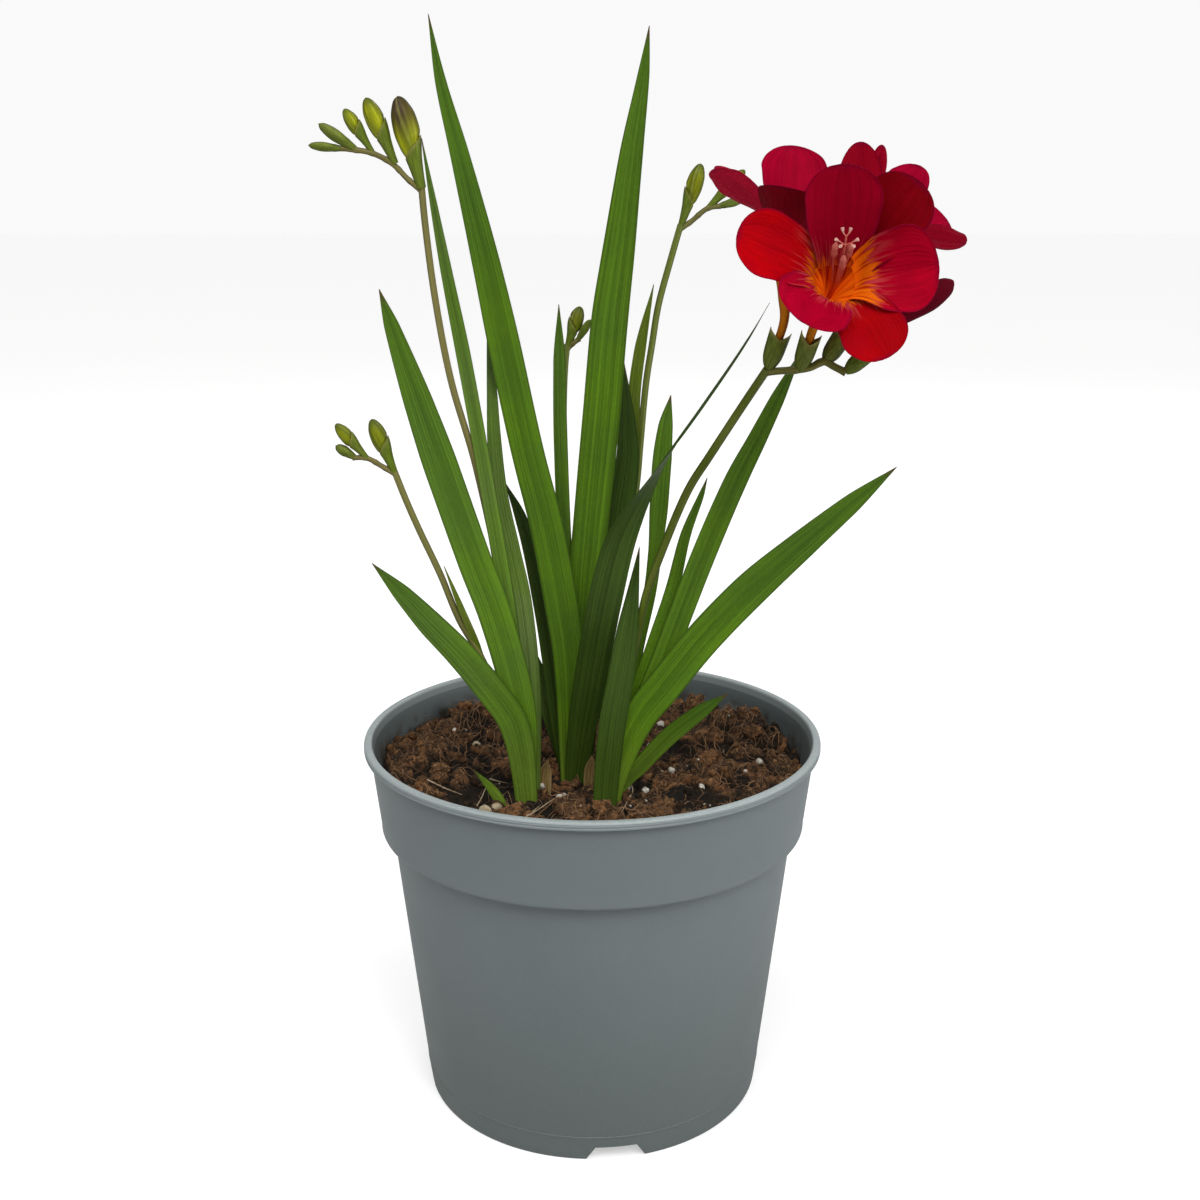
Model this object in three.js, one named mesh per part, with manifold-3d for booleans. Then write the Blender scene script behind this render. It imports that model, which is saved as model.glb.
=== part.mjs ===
// A potted red freesia, in millimetres with +Z up.
// The origin is the middle of the pot's underside. -Y is the front, the side that the
// spray in bloom leans to, and +X is on the right seen from there.
import * as THREE from 'three';
import { mergeVertices } from 'three/addons/utils/BufferGeometryUtils.js';
import Module from 'manifold-3d';

const wasm = await Module();
wasm.setup();

// Driving sizes of the pot
const rimRadius = 85;
const potHeight = 140;
const lipDepth = 3;
const lipReach = 2.3;
const collarDepth = 34;
const collarFootRadius = 79.6;
const bodyTopRadius = 75.5;
const bodyFootRadius = 64.1;
const wall = 1.6;
const floorHeight = 5.4;
const floorThickness = 2;
const padRadius = 15;
const potSides = 36;
const soilSides = 28;
const notchCount = 4;
const notchWidth = 23;
const notchTopWidth = 15;
const notchHeight = 5.4;
const firstNotchAngle = -82.6;
const drainCount = 8;
const drainRadius = 4.5;
const drainCircle = 44;

// Driving sizes of what grows in it
const clearance = 0.3;
const soilLevel = 127;
const bladeThickness = 0.7;
const bladeFold = 0.5;
const cormRadius = 10.5;
const cormBottom = 82;
const cormTop = 101;
const shootFoot = cormTop + clearance;
const stemRadius = 1.2;
const flowerStemRadius = 1.4;
const rachisRadius = 0.9;
const tepalThickness = 0.7;
const throatRadius = 7.8;
const throatDepth = 17;
const throatFloor = 0.6;
const cupWall = 0.55;

// The three shoots stand here, and their leaves and stems are stacked front to back
const shoots = {
  left: { x: -24, y: -31.4 },
  middle: { x: -7, y: -14.2 },
  right: { x: 5, y: -34.4 },
};

const colours = {
  pot: 0x74797b,
  soil: 0x4a3122,
  corm: 0x9a7a4f,
  sheath: 0x8a6238,
  leaf: 0x4f8426,
  darkLeaf: 0x2f5a2a,
  stem: 0x6f6a35,
  greenStem: 0x5c7a35,
  bud: 0x7f8f2c,
  petal: 0xa30f22,
  darkBud: 0x5d1220,
  stamen: 0xe9c9b4,
};

const object = new THREE.Group();
object.name = 'potted_freesia';

const vec = (x, y, z) => new THREE.Vector3(x, y, z);
const degrees = THREE.MathUtils.degToRad;

// Shared corners only, with no triangle that has shrunk to a line
function closed(geometry) {
  geometry.deleteAttribute('normal');
  geometry.deleteAttribute('uv');
  const merged = mergeVertices(geometry, 1e-4);
  const old = merged.index.array;
  const kept = [];
  for (let i = 0; i < old.length; i += 3) {
    const [a, b, c] = [old[i], old[i + 1], old[i + 2]];
    if (a !== b && b !== c && c !== a) {
      kept.push(a, b, c);
    }
  }
  merged.setIndex(kept);
  return merged;
}

function toSolid(geometry) {
  const mesh = closed(geometry);
  return new wasm.Manifold(new wasm.Mesh({
    numProp: 3,
    vertProperties: new Float32Array(mesh.attributes.position.array),
    triVerts: new Uint32Array(mesh.index.array),
  }));
}

function toGeometry(solid) {
  const mesh = solid.getMesh();
  const geometry = new THREE.BufferGeometry();
  geometry.setAttribute('position', new THREE.BufferAttribute(mesh.vertProperties, 3));
  geometry.setIndex(new THREE.BufferAttribute(mesh.triVerts, 1));
  return geometry;
}

// One body from several that overlap, without the scraps and sealed hollows between them
function fuse(geometries) {
  let whole = toSolid(geometries[0]);
  for (const geometry of geometries.slice(1)) {
    whole = whole.add(toSolid(geometry));
  }
  const bodies = whole.decompose().sort((a, b) => b.volume() - a.volume());
  return toGeometry(bodies[0]);
}

function addMesh(parent, name, geometry, colour, roughness = 0.6) {
  const shown = geometry.index ? geometry.toNonIndexed() : geometry;
  shown.computeVertexNormals();
  const material = new THREE.MeshStandardMaterial({ color: colour, roughness, metalness: 0 });
  const mesh = new THREE.Mesh(shown, material);
  mesh.name = name;
  parent.add(mesh);
  return mesh;
}

const anglesOf = (sides) => Array.from({ length: sides }, (_, i) => (2 * Math.PI * i) / sides);

// A closed skin through rings that turn the same way, with a fan over each end
function loft(rings) {
  const count = rings[0].length;
  const middle = (ring) => ring.reduce((sum, p) => sum.add(p), vec(0, 0, 0)).divideScalar(count);
  const points = [...rings.flat(), middle(rings[0]), middle(rings[rings.length - 1])];
  const indices = [];
  for (let i = 0; i < rings.length - 1; i++) {
    for (let j = 0; j < count; j++) {
      const a = i * count + j;
      const b = i * count + (j + 1) % count;
      indices.push(a, b, b + count, a, b + count, a + count);
    }
  }
  const first = points.length - 2;
  const lastRing = (rings.length - 1) * count;
  for (let j = 0; j < count; j++) {
    const next = (j + 1) % count;
    indices.push(first, next, j, first + 1, lastRing + j, lastRing + next);
  }
  const geometry = new THREE.BufferGeometry().setFromPoints(points);
  geometry.setIndex(indices);
  return geometry;
}

// A thin closed sheet round a grid of points, whose rows run along it. Both faces are
// split on the same diagonals, so that a waved sheet never crosses itself.
function sheet(grid, thickness) {
  const rows = grid.length;
  const columns = grid[0].length;
  const upper = [];
  const lower = [];
  for (let i = 0; i < rows; i++) {
    for (let j = 0; j < columns; j++) {
      const along = grid[Math.min(i + 1, rows - 1)][j].clone().sub(grid[Math.max(i - 1, 0)][j]);
      const across = grid[i][Math.min(j + 1, columns - 1)].clone().sub(grid[i][Math.max(j - 1, 0)]);
      const normal = across.cross(along).normalize().multiplyScalar(thickness / 2);
      upper.push(grid[i][j].clone().add(normal));
      lower.push(grid[i][j].clone().sub(normal));
    }
  }
  const half = rows * columns;
  const indices = [];
  const quad = (a, b, c, d) => indices.push(a, b, c, a, c, d);
  for (let i = 0; i < rows - 1; i++) {
    for (let j = 0; j < columns - 1; j++) {
      const a = i * columns + j;
      const c = a + columns + 1;
      quad(a, a + 1, c, c - 1);
      indices.push(half + a, half + c, half + a + 1, half + a, half + c - 1, half + c);
    }
    const left = i * columns;
    const right = left + columns - 1;
    quad(left, left + columns, half + left + columns, half + left);
    quad(right + columns, right, half + right, half + right + columns);
  }
  for (let j = 0; j < columns - 1; j++) {
    const end = (rows - 1) * columns + j;
    quad(j + 1, j, half + j, half + j + 1);
    quad(end, end + 1, half + end + 1, half + end);
  }
  const geometry = new THREE.BufferGeometry().setFromPoints([...upper, ...lower]);
  geometry.setIndex(indices);
  return geometry;
}

const polygon = (radius, sides) => new THREE.Shape(anglesOf(sides).map((angle) => (
  new THREE.Vector2(radius * Math.cos(angle), radius * Math.sin(angle))
)));

function tube(points, radius, steps, sides = 6) {
  const path = new THREE.CatmullRomCurve3(points.map((p) => vec(...p)));
  const options = { extrudePath: path, steps, bevelEnabled: false };
  return new THREE.ExtrudeGeometry(polygon(radius, sides), options);
}

// A turned body that stands on base and points at tip. The profile lists radius and
// share of the length, from the base up, and starts and ends on the axis.
function turned(profile, base, tip, sides) {
  const start = vec(...base);
  const direction = vec(...tip).sub(start);
  const length = direction.length();
  const points = profile.map(([radius, share]) => new THREE.Vector2(radius, share * length));
  const geometry = new THREE.LatheGeometry(points, sides);
  const turn = new THREE.Quaternion().setFromUnitVectors(vec(0, 1, 0), direction.normalize());
  geometry.applyQuaternion(turn);
  geometry.translate(start.x, start.y, start.z);
  return geometry;
}

// Pot
const bodyRadius = (z) =>
  THREE.MathUtils.lerp(bodyFootRadius, bodyTopRadius, z / (potHeight - collarDepth));
const collarTopRadius = rimRadius - lipReach;
const collarFoot = potHeight - collarDepth;

function potProfile() {
  const lipFoot = potHeight - lipDepth;
  return [
    [0, 0],
    [padRadius, 0],
    [padRadius, floorHeight],
    [bodyRadius(floorHeight) - 2 * wall, floorHeight],
    [bodyFootRadius - 2 * wall, 0],
    [bodyFootRadius - 0.6, 0],
    [bodyFootRadius, 0.8],
    [bodyTopRadius, collarFoot],
    [collarFootRadius - 1.8, collarFoot],
    [collarFootRadius, collarFoot + 3],
    [collarTopRadius, lipFoot],
    [rimRadius - 0.2, lipFoot],
    [rimRadius, potHeight - 0.6],
    [rimRadius - 0.6, potHeight],
    [rimRadius - 2.4, potHeight],
    [innerRadius(lipFoot), lipFoot],
    [innerRadius(collarFoot + 3), collarFoot + 3],
    [innerRadius(collarFoot - 2), collarFoot - 2],
    [innerRadius(floorHeight + floorThickness), floorHeight + floorThickness],
    [0, floorHeight + floorThickness],
  ];
}

// Radius of the pot's inner wall at a height
function innerRadius(z) {
  const stepFoot = collarFoot - 2;
  const stepTop = collarFoot + 3;
  const collarInner = (height) => THREE.MathUtils.lerp(
    collarFootRadius,
    collarTopRadius,
    (height - stepTop) / (potHeight - lipDepth - stepTop),
  ) - wall;
  if (z <= stepFoot) {
    return bodyRadius(z) - wall;
  }
  if (z >= stepTop) {
    return collarInner(z);
  }
  const share = (z - stepFoot) / (stepTop - stepFoot);
  return THREE.MathUtils.lerp(bodyRadius(stepFoot) - wall, collarInner(stepTop), share);
}

// A lathe turns about Y, so it is stood up afterwards
function standing(profile, sides) {
  const geometry = new THREE.LatheGeometry(profile.map(([r, z]) => new THREE.Vector2(r, z)), sides);
  geometry.rotateX(Math.PI / 2);
  return geometry;
}

function makePot() {
  let pot = toSolid(standing(potProfile(), potSides));
  const notch = new THREE.Shape([
    new THREE.Vector2(-notchWidth / 2, -1),
    new THREE.Vector2(notchWidth / 2, -1),
    new THREE.Vector2(notchTopWidth / 2, notchHeight),
    new THREE.Vector2(-notchTopWidth / 2, notchHeight),
  ]);
  for (let i = 0; i < notchCount; i++) {
    const cutter = new THREE.ExtrudeGeometry(notch, { depth: 12, bevelEnabled: false });
    cutter.rotateX(Math.PI / 2);
    cutter.translate(0, -bodyFootRadius + 8, 0);
    cutter.rotateZ(degrees(firstNotchAngle + 90 + (360 / notchCount) * i));
    pot = pot.subtract(toSolid(cutter));
  }
  for (let i = 0; i < drainCount; i++) {
    const angle = (2 * Math.PI * (i + 0.5)) / drainCount;
    const drain = new THREE.CylinderGeometry(drainRadius, drainRadius, 4 * floorThickness, 10);
    drain.rotateX(Math.PI / 2);
    drain.translate(drainCircle * Math.cos(angle), drainCircle * Math.sin(angle), floorHeight);
    pot = pot.subtract(toSolid(drain));
  }
  addMesh(object, 'pot', toGeometry(pot), colours.pot, 0.55);
}

// Soil: a root ball as turned out of the pot, with a lumpy top and a plain hole under
// each shoot that widens into the room its corm lies in
const lumps = [
  [-46, 44, 5, 15],
  [-12, 52, 4, 16],
  [60, 36, 6, 14],
  [28, 56, 3, 14],
  [-62, 8, 3, 13],
  [52, -16, 2.5, 14],
  [24, -62, 2, 13],
  [-8, -58, 2.5, 11],
  [-46, -40, -3, 12],
  [38, 14, -4, 13],
  [-26, 12, -2.5, 14],
];

function soilHeight(x, y) {
  const broad = 0.9 * Math.sin(0.19 * x + 0.7) * Math.cos(0.23 * y);
  const ripple = broad + 0.5 * Math.sin(0.47 * (x - y));
  const heaps = lumps.map(([cx, cy, rise, reach]) => {
    const away = (x - cx) ** 2 + (y - cy) ** 2;
    return rise * Math.exp(-away / reach ** 2);
  });
  return soilLevel + ripple + heaps.reduce((sum, heap) => sum + heap, 0);
}

function soilRings() {
  const shares = [0.93, 0.8, 0.66, 0.52, 0.38, 0.24, 0.1];
  const angles = anglesOf(soilSides);
  const edge = (angle) => {
    const reach = innerRadius(soilLevel) - clearance;
    return Math.min(soilHeight(reach * Math.cos(angle), reach * Math.sin(angle)), potHeight - 6);
  };
  const at = (angle, radius, z) => vec(radius * Math.cos(angle), radius * Math.sin(angle), z);
  const sides = [floorHeight + floorThickness + clearance, collarFoot - 2, collarFoot + 3].map((z) => (
    angles.map((angle) => at(angle, innerRadius(z) - 1.5 * clearance, z))
  ));
  const rim = angles.map((angle) => at(angle, innerRadius(edge(angle)) - 1.5 * clearance, edge(angle)));
  const top = shares.map((share) => angles.map((angle) => {
    const radius = share * innerRadius(soilLevel);
    return at(angle, radius, soilHeight(radius * Math.cos(angle), radius * Math.sin(angle)));
  }));
  return [...sides, rim, ...top];
}

// Clods lie on rings round the pot, clear of the shoots
function clods() {
  const clodCount = 12;
  const found = [];
  for (let i = 0; i < clodCount; i++) {
    const angle = 2.4 * i;
    const reach = 44 + 27 * Math.abs(Math.sin(1.7 * i));
    const size = 2.6 + 1.6 * Math.abs(Math.sin(2.3 * i + 1));
    const x = reach * Math.cos(angle);
    const y = reach * Math.sin(angle);
    const clod = new THREE.IcosahedronGeometry(size, 0);
    clod.rotateX(i);
    clod.scale(1.3, 1, 0.8);
    clod.rotateZ(angle);
    clod.translate(x, y, soilHeight(x, y) + 0.25 * size);
    found.push(clod);
  }
  return found;
}

const cormProfile = (extra) => [
  [0, cormBottom - extra],
  [6 + extra, cormBottom - extra],
  [cormRadius + extra, cormBottom + 4 - extra],
  [cormRadius + extra, cormBottom + 9],
  [8.5 + extra, cormTop - 4 + extra],
  [5.4 + extra, cormTop + extra],
  [0, cormTop + extra],
];

// An upright slot with cut corners, from a depth in the soil up through its top
function slot(left, right, front, back, bottom, corner) {
  const outline = new THREE.Shape([
    new THREE.Vector2(left + corner, front),
    new THREE.Vector2(right - corner, front),
    new THREE.Vector2(right, front + corner),
    new THREE.Vector2(right, back - corner),
    new THREE.Vector2(right - corner, back),
    new THREE.Vector2(left + corner, back),
    new THREE.Vector2(left, back - corner),
    new THREE.Vector2(left, front + corner),
  ]);
  const options = { depth: potHeight - bottom, bevelEnabled: false };
  const cut = new THREE.ExtrudeGeometry(outline, options);
  cut.translate(0, 0, bottom);
  return cut;
}

function makeSoil() {
  let soil = toSolid(loft(soilRings()));
  clods().forEach((clod) => {
    soil = soil.add(toSolid(clod));
  });
  Object.values(shoots).forEach(({ x, y }) => {
    const room = standing(cormProfile(clearance), 12);
    room.translate(x, y, 0);
    soil = soil.subtract(toSolid(room));
  });
  const slots = [
    slot(-29.4, -18.0, -35.1, -27.2, cormTop - 3, 0.8),
    slot(-13.4, -0.2, -19.5, -8.8, cormTop - 3, 0.8),
    slot(-0.4, 13.5, -39.6, -29.3, cormTop - 3, 0.8),
    slot(-34.4, -28.9, -38.1, -36.3, 114, 0.4),
    slot(-20.6, -14.4, -26.3, -24.7, 116, 0.3),
    slot(-3.8, 2.4, -22.4, -20.8, 116, 0.3),
  ];
  slots.forEach((cut) => {
    soil = soil.subtract(toSolid(cut));
  });
  addMesh(object, 'soil', toGeometry(soil), colours.soil, 0.95);
}

function makeCorm(name, { x, y }) {
  const corm = addMesh(object, name, closed(standing(cormProfile(0), 12)), colours.corm, 0.8);
  corm.position.set(x, y, 0);
}

// A sword leaf through stations of x, y, z and width, from its foot to its tip. It faces
// the front, and turns by `turn` degrees between the heights `turnFrom` and `turnTo`.
function bladeGrid({ stations, turn = 0, fold = bladeFold, turnFrom = soilLevel + 30, turnTo }) {
  const line = new THREE.CatmullRomCurve3(stations.map(([x, y, z]) => vec(x, y, z)));
  const widths = new THREE.CatmullRomCurve3(stations.map((station) => vec(station[3], 0, 0)));
  const rows = 2 * (stations.length - 1);
  const top = stations[stations.length - 1][2];
  const turnEnd = turnTo ?? Math.max(top, soilLevel + 60);
  const grid = [];
  for (let i = 0; i <= rows; i++) {
    const share = i / rows;
    const centre = line.getPoint(share);
    const along = line.getTangent(share);
    const halfWidth = Math.max(widths.getPoint(share).x, bladeThickness) / 2;
    const free = THREE.MathUtils.smoothstep(centre.z, soilLevel, soilLevel + 40);
    const turned = turn * THREE.MathUtils.smoothstep(centre.z, turnFrom, turnEnd);
    const facing = vec(0, -1, 0).applyAxisAngle(along, degrees(turned));
    const across = along.clone().cross(facing).normalize();
    const folded = fold * free * Math.min(halfWidth / 5, 1);
    const inward = across.clone().cross(along).multiplyScalar(-folded);
    grid.push([
      centre.clone().addScaledVector(across, -halfWidth),
      centre.clone().add(inward),
      centre.clone().addScaledVector(across, halfWidth),
    ]);
  }
  return grid;
}

const blade = (leaf) => sheet(bladeGrid(leaf), bladeThickness);

const leaves = {
  leaf_left_1: {
    stations: [
      [-24, -34, shootFoot, 6], [-23.6, -34, 128, 8], [-27.5, -34.3, 155, 10.6],
      [-36, -35.5, 169, 10.7], [-46, -37, 182.4, 10.1], [-55, -38, 192.7, 9.1],
      [-64.5, -39, 204, 6.2], [-74, -40, 214.7, 0.8],
    ],
  },
  leaf_left_2: {
    stations: [
      [-24, -33, shootFoot, 6], [-24, -33, 130, 8], [-25.4, -33, 160, 11.2],
      [-33, -33, 193, 11.5], [-40, -33, 213.5, 11.7], [-50.5, -33, 246, 11.6],
      [-57.6, -33, 268.3, 9.6], [-65.5, -33, 293.2, 4.9], [-69, -33, 304.5, 0.8],
    ],
    turn: 12,
  },
  leaf_left_3: {
    stations: [
      [-23.5, -32, shootFoot, 6], [-23.5, -32, 130, 6.5], [-28.5, -31.2, 190, 5.6],
      [-35.8, -30, 241, 5], [-42.3, -28.8, 281.3, 4.9], [-47.7, -27.6, 310.7, 3.8],
      [-51.1, -27.2, 330.8, 2.4], [-54.4, -27, 351.5, 0.8],
    ],
  },
  leaf_left_4: {
    stations: [
      [-22.5, -28.6, shootFoot, 6], [-22.5, -28.6, 128, 7.5], [-22, -27.8, 165, 7.5],
      [-24.7, -27, 198, 7.2], [-28.3, -26, 216.6, 6.7], [-31.8, -25, 235.3, 6],
      [-33.3, -23, 253.7, 4.9], [-34.1, -18.6, 271.4, 3.5], [-35.4, -15, 295.8, 0.8],
    ],
    turn: -12,
    dark: true,
  },
  leaf_left_5: {
    stations: [
      [-31.4, -37.2, 115, 3], [-31.4, -37.2, 124, 3.6], [-35, -37, 131, 3.6],
      [-42, -36.5, 139, 0.8],
    ],
  },
  leaf_middle_1: {
    stations: [
      [-7.5, -17.5, shootFoot, 6], [-8, -17.5, 130, 7.5], [-8.5, -18, 174, 11],
      [-11.3, -18.5, 196, 11.8], [-16, -19, 223, 11.6], [-22.1, -20, 249, 11.2],
      [-29.6, -22, 286.6, 10.8], [-34.9, -24, 313, 9.2], [-42.6, -26, 347.3, 6.1],
      [-47.8, -27, 368.7, 3.6], [-51, -28, 388.4, 0.8],
    ],
    turn: 10,
  },
  leaf_middle_2: {
    stations: [
      [-6.5, -16.5, shootFoot, 6], [-6, -16.5, 130, 8], [-5, -16, 157, 11], [-3, -15.6, 195, 12],
      [0.3, -15.2, 231, 12.6], [3.3, -14.7, 262, 13], [6, -13.8, 293, 12.6], [9, -13, 316, 11],
      [13.3, -12, 348.6, 7.7], [17, -10.6, 372, 4], [18.8, -10, 387, 0.8],
    ],
    turn: -12,
  },
  leaf_middle_3: {
    stations: [
      [-7, -15.5, shootFoot, 5], [-7, -15.5, 130, 5], [-7.6, -14, 172, 5.2], [-9.6, -13, 210, 5],
      [-11, -12, 255, 4.8], [-11.2, -10.6, 279.3, 4.2], [-11.3, -9, 298, 0.8],
    ],
  },
  leaf_middle_4: {
    stations: [
      [-8, -14.5, shootFoot, 5], [-9.2, -14.5, 128, 5.2], [-12.4, -12.8, 149, 6.2],
      [-18, -9.8, 190, 6], [-25, -7.5, 222, 4.5], [-31, -6, 236, 0.8],
    ],
    dark: true,
  },
  leaf_middle_5: {
    stations: [
      [-8.5, -9.7, shootFoot, 5], [-9, -9.7, 126, 6], [-13, -8.2, 143, 7.4], [-18, -6, 158, 7.4],
      [-24, -4, 172, 6], [-35, -1, 195, 0.8],
    ],
    dark: true,
  },
  leaf_middle_6: {
    stations: [
      [-4.5, -13.5, shootFoot, 5], [-3.5, -13.5, 127, 5.6], [-0.5, -12.8, 160, 8],
      [2.9, -12.3, 194, 8.6], [7.8, -11.3, 216, 8.9], [10.6, -10.5, 232, 9.4],
      [12.5, -9.5, 246, 8], [12.2, -8.5, 258, 6], [11.1, -6.5, 278.2, 0.8],
    ],
    dark: true,
  },
  leaf_middle_7: {
    stations: [
      [-6.5, -18.5, shootFoot, 6], [-6, -18.7, 130, 8], [-0.7, -27, 169, 11.8],
      [4.4, -37, 201, 11.6], [8.7, -40, 220, 11], [12.6, -42, 230, 10.4], [18.1, -44, 240.4, 9.4],
      [23.5, -45.5, 250, 8.4], [35.4, -48.2, 268, 6.6], [49.1, -50.8, 289.4, 3.6],
      [55.6, -52, 301.3, 0.8],
    ],
    turn: 85,
    turnFrom: 205,
    turnTo: 262,
    dark: true,
  },
  leaf_right_1: {
    stations: [
      [5, -31.2, shootFoot, 5], [5, -31.2, 127, 5], [10, -29.6, 150, 4], [16.5, -28.2, 184, 4.2],
      [20.1, -27.5, 202, 4.4], [21.7, -27, 216, 4.8], [22.8, -26, 230, 6.3],
      [23.7, -24.8, 245, 6.6], [25, -23, 258.6, 5], [26.8, -20, 268.5, 0.8],
    ],
  },
  leaf_right_3: {
    stations: [
      [5, -35.5, shootFoot, 5], [5, -35.5, 128, 6], [12, -35.3, 155, 5.8], [21.7, -35, 186, 5],
      [27.3, -34.6, 204, 4.7], [31.8, -33, 223, 3.6], [36.9, -31, 236, 2],
      [38.9, -30, 241.8, 0.8],
    ],
  },
  leaf_right_4: {
    stations: [
      [5, -36.5, shootFoot, 6], [5, -36.5, 128, 8], [10.5, -36.5, 145, 8.3],
      [21.8, -36.6, 172, 8.3], [30.1, -36.9, 195.6, 8.2], [38, -37.7, 218, 8.2],
      [47.8, -38.4, 242.5, 7.6], [54.5, -38.8, 256.5, 6.2], [60.6, -39.3, 269.7, 4.7],
      [68.2, -40, 286, 0.8],
    ],
    turn: -8,
  },
  leaf_right_5: {
    stations: [
      [6, -37.5, shootFoot, 6], [6, -37.5, 128, 8], [11, -37.6, 147, 10.5], [17, -38, 160, 11.7],
      [23.5, -38.8, 169, 12.3], [37, -41, 187.6, 12.7], [53, -44, 206.3, 12.7],
      [69, -47, 222.2, 10.4], [85, -49, 237, 6.8], [98.6, -50, 249, 0.8],
    ],
    turn: 10,
  },
  leaf_right_6: {
    stations: [
      [7, -30.2, shootFoot, 4.5], [8, -30.2, 127, 5.5], [17.2, -28.5, 137.4, 6.2],
      [27.9, -26, 147.9, 6.6], [38.6, -24, 155.9, 5.6], [48.4, -22, 162, 0.8],
    ],
  },
  leaf_right_7: {
    stations: [
      [4.5, -38.5, shootFoot, 6], [4.5, -38.6, 129, 8.5], [7, -39.2, 157, 9.4],
      [10, -38.6, 175, 9], [12, -37, 190, 7.4], [14, -35.6, 204, 4], [16, -34.9, 219, 0.8],
    ],
    dark: true,
  },
  sheath_left: {
    stations: [
      [-17.5, -25.5, 117, 4], [-17.5, -25.5, 127, 5], [-17, -25.4, 133, 4.2],
      [-16.2, -25.2, 138, 1],
    ],
    brown: true,
  },
  sheath_middle: {
    stations: [
      [-0.7, -21.6, 117, 4], [-0.7, -21.6, 127, 5], [-0.6, -21.4, 133, 4.2],
      [-0.2, -21.2, 138, 1],
    ],
    brown: true,
  },
};

function makeLeaf(name, leaf) {
  const shade = leaf.dark ? colours.darkLeaf : colours.leaf;
  addMesh(object, name, blade(leaf), leaf.brown ? colours.sheath : shade, 0.5);
}

// Places a point by its angle, radius and height round the line from base to top
function placeRound(base, top) {
  const start = vec(...base);
  const up = vec(...top).sub(start).normalize();
  const right = vec(0, -1, 0).cross(up).normalize();
  const back = up.clone().cross(right);
  return (angle, radius, height) => start.clone()
    .addScaledVector(right, radius * Math.cos(angle))
    .addScaledVector(back, radius * Math.sin(angle))
    .addScaledVector(up, height);
}

// A cup of two bracts round the foot of a flower. Its mouth rises in two points.
function bractCup({ base, top, mouthRadius, rise }) {
  const length = vec(...top).distanceTo(vec(...base));
  const place = placeRound(base, top);
  const ring = (radius, share, lift) =>
    anglesOf(6).map((angle) => place(angle, radius, share * length + lift * Math.cos(2 * angle)));
  return loft([
    ring(0.9, 0, 0),
    ring(mouthRadius * 0.9, 0.45, 0),
    ring(mouthRadius, 1, rise),
    ring(mouthRadius - cupWall, 1, rise),
    ring(mouthRadius * 0.9 - cupWall, 0.5, 0),
    ring(0.7, 0.3, 0),
  ]);
}

// A small closed bud with its bracts shut round it
const greenBud = (base, tip, radius) => turned(
  [
    [0, 0], [0.45 * radius, 0.02], [0.8 * radius, 0.3], [radius, 0.58], [0.75 * radius, 0.85],
    [0, 1],
  ],
  base,
  tip,
  6,
);

// A cupped bud and its cup share one spindle, from the cup's base to the bud's tip. Its
// outline lists shares of the length with shares of the radius.
const spindle = [
  [0, 0.36], [0.15, 0.46], [0.32, 0.62], [0.46, 0.84], [0.62, 1], [0.78, 0.93], [0.92, 0.58],
  [1, 0.04],
];

function spindleShare(share) {
  const next = Math.max(spindle.findIndex(([end]) => end >= share), 1);
  const [[from, low], [to, high]] = spindle.slice(next - 1, next + 1);
  return THREE.MathUtils.mapLinear(share, from, to, low, high);
}

// The cup's mouth slants, from its low share of the length up to its high share on the
// side it faces. A ring's step is 0 at the base, 1 at the mouth and 2 at the tip.
function spindleRing({ base, tip, radius, mouth, facing }, step, inset) {
  const length = vec(...tip).distanceTo(vec(...base));
  const place = placeRound(base, tip);
  return anglesOf(8).map((angle) => {
    const edge = THREE.MathUtils.lerp(...mouth, 0.5 + 0.5 * facing * Math.cos(angle));
    const share = step < 1 ? step * edge : THREE.MathUtils.lerp(edge, 1, step - 1);
    const reach = Math.max(radius * spindleShare(share) - inset, 0.35);
    return place(angle, reach, share * length);
  });
}

// Two bracts wrapped closely round the lower half of the spindle
const wrappedCup = (bud) => loft([
  spindleRing(bud, 0, 0),
  spindleRing(bud, 0.5, 0),
  spindleRing(bud, 1, 0),
  spindleRing(bud, 1, cupWall),
  spindleRing(bud, 0.48, cupWall),
]);

// The bud stands clear of the cup's wall, and swells to the spindle above the mouth
const cuppedBud = (bud) => loft([
  spindleRing(bud, 0.62, cupWall + clearance),
  spindleRing(bud, 1, cupWall + clearance),
  spindleRing(bud, 1.2, 0),
  spindleRing(bud, 1.5, 0),
  spindleRing(bud, 1.8, 0),
  spindleRing(bud, 2, 0),
]);

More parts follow.
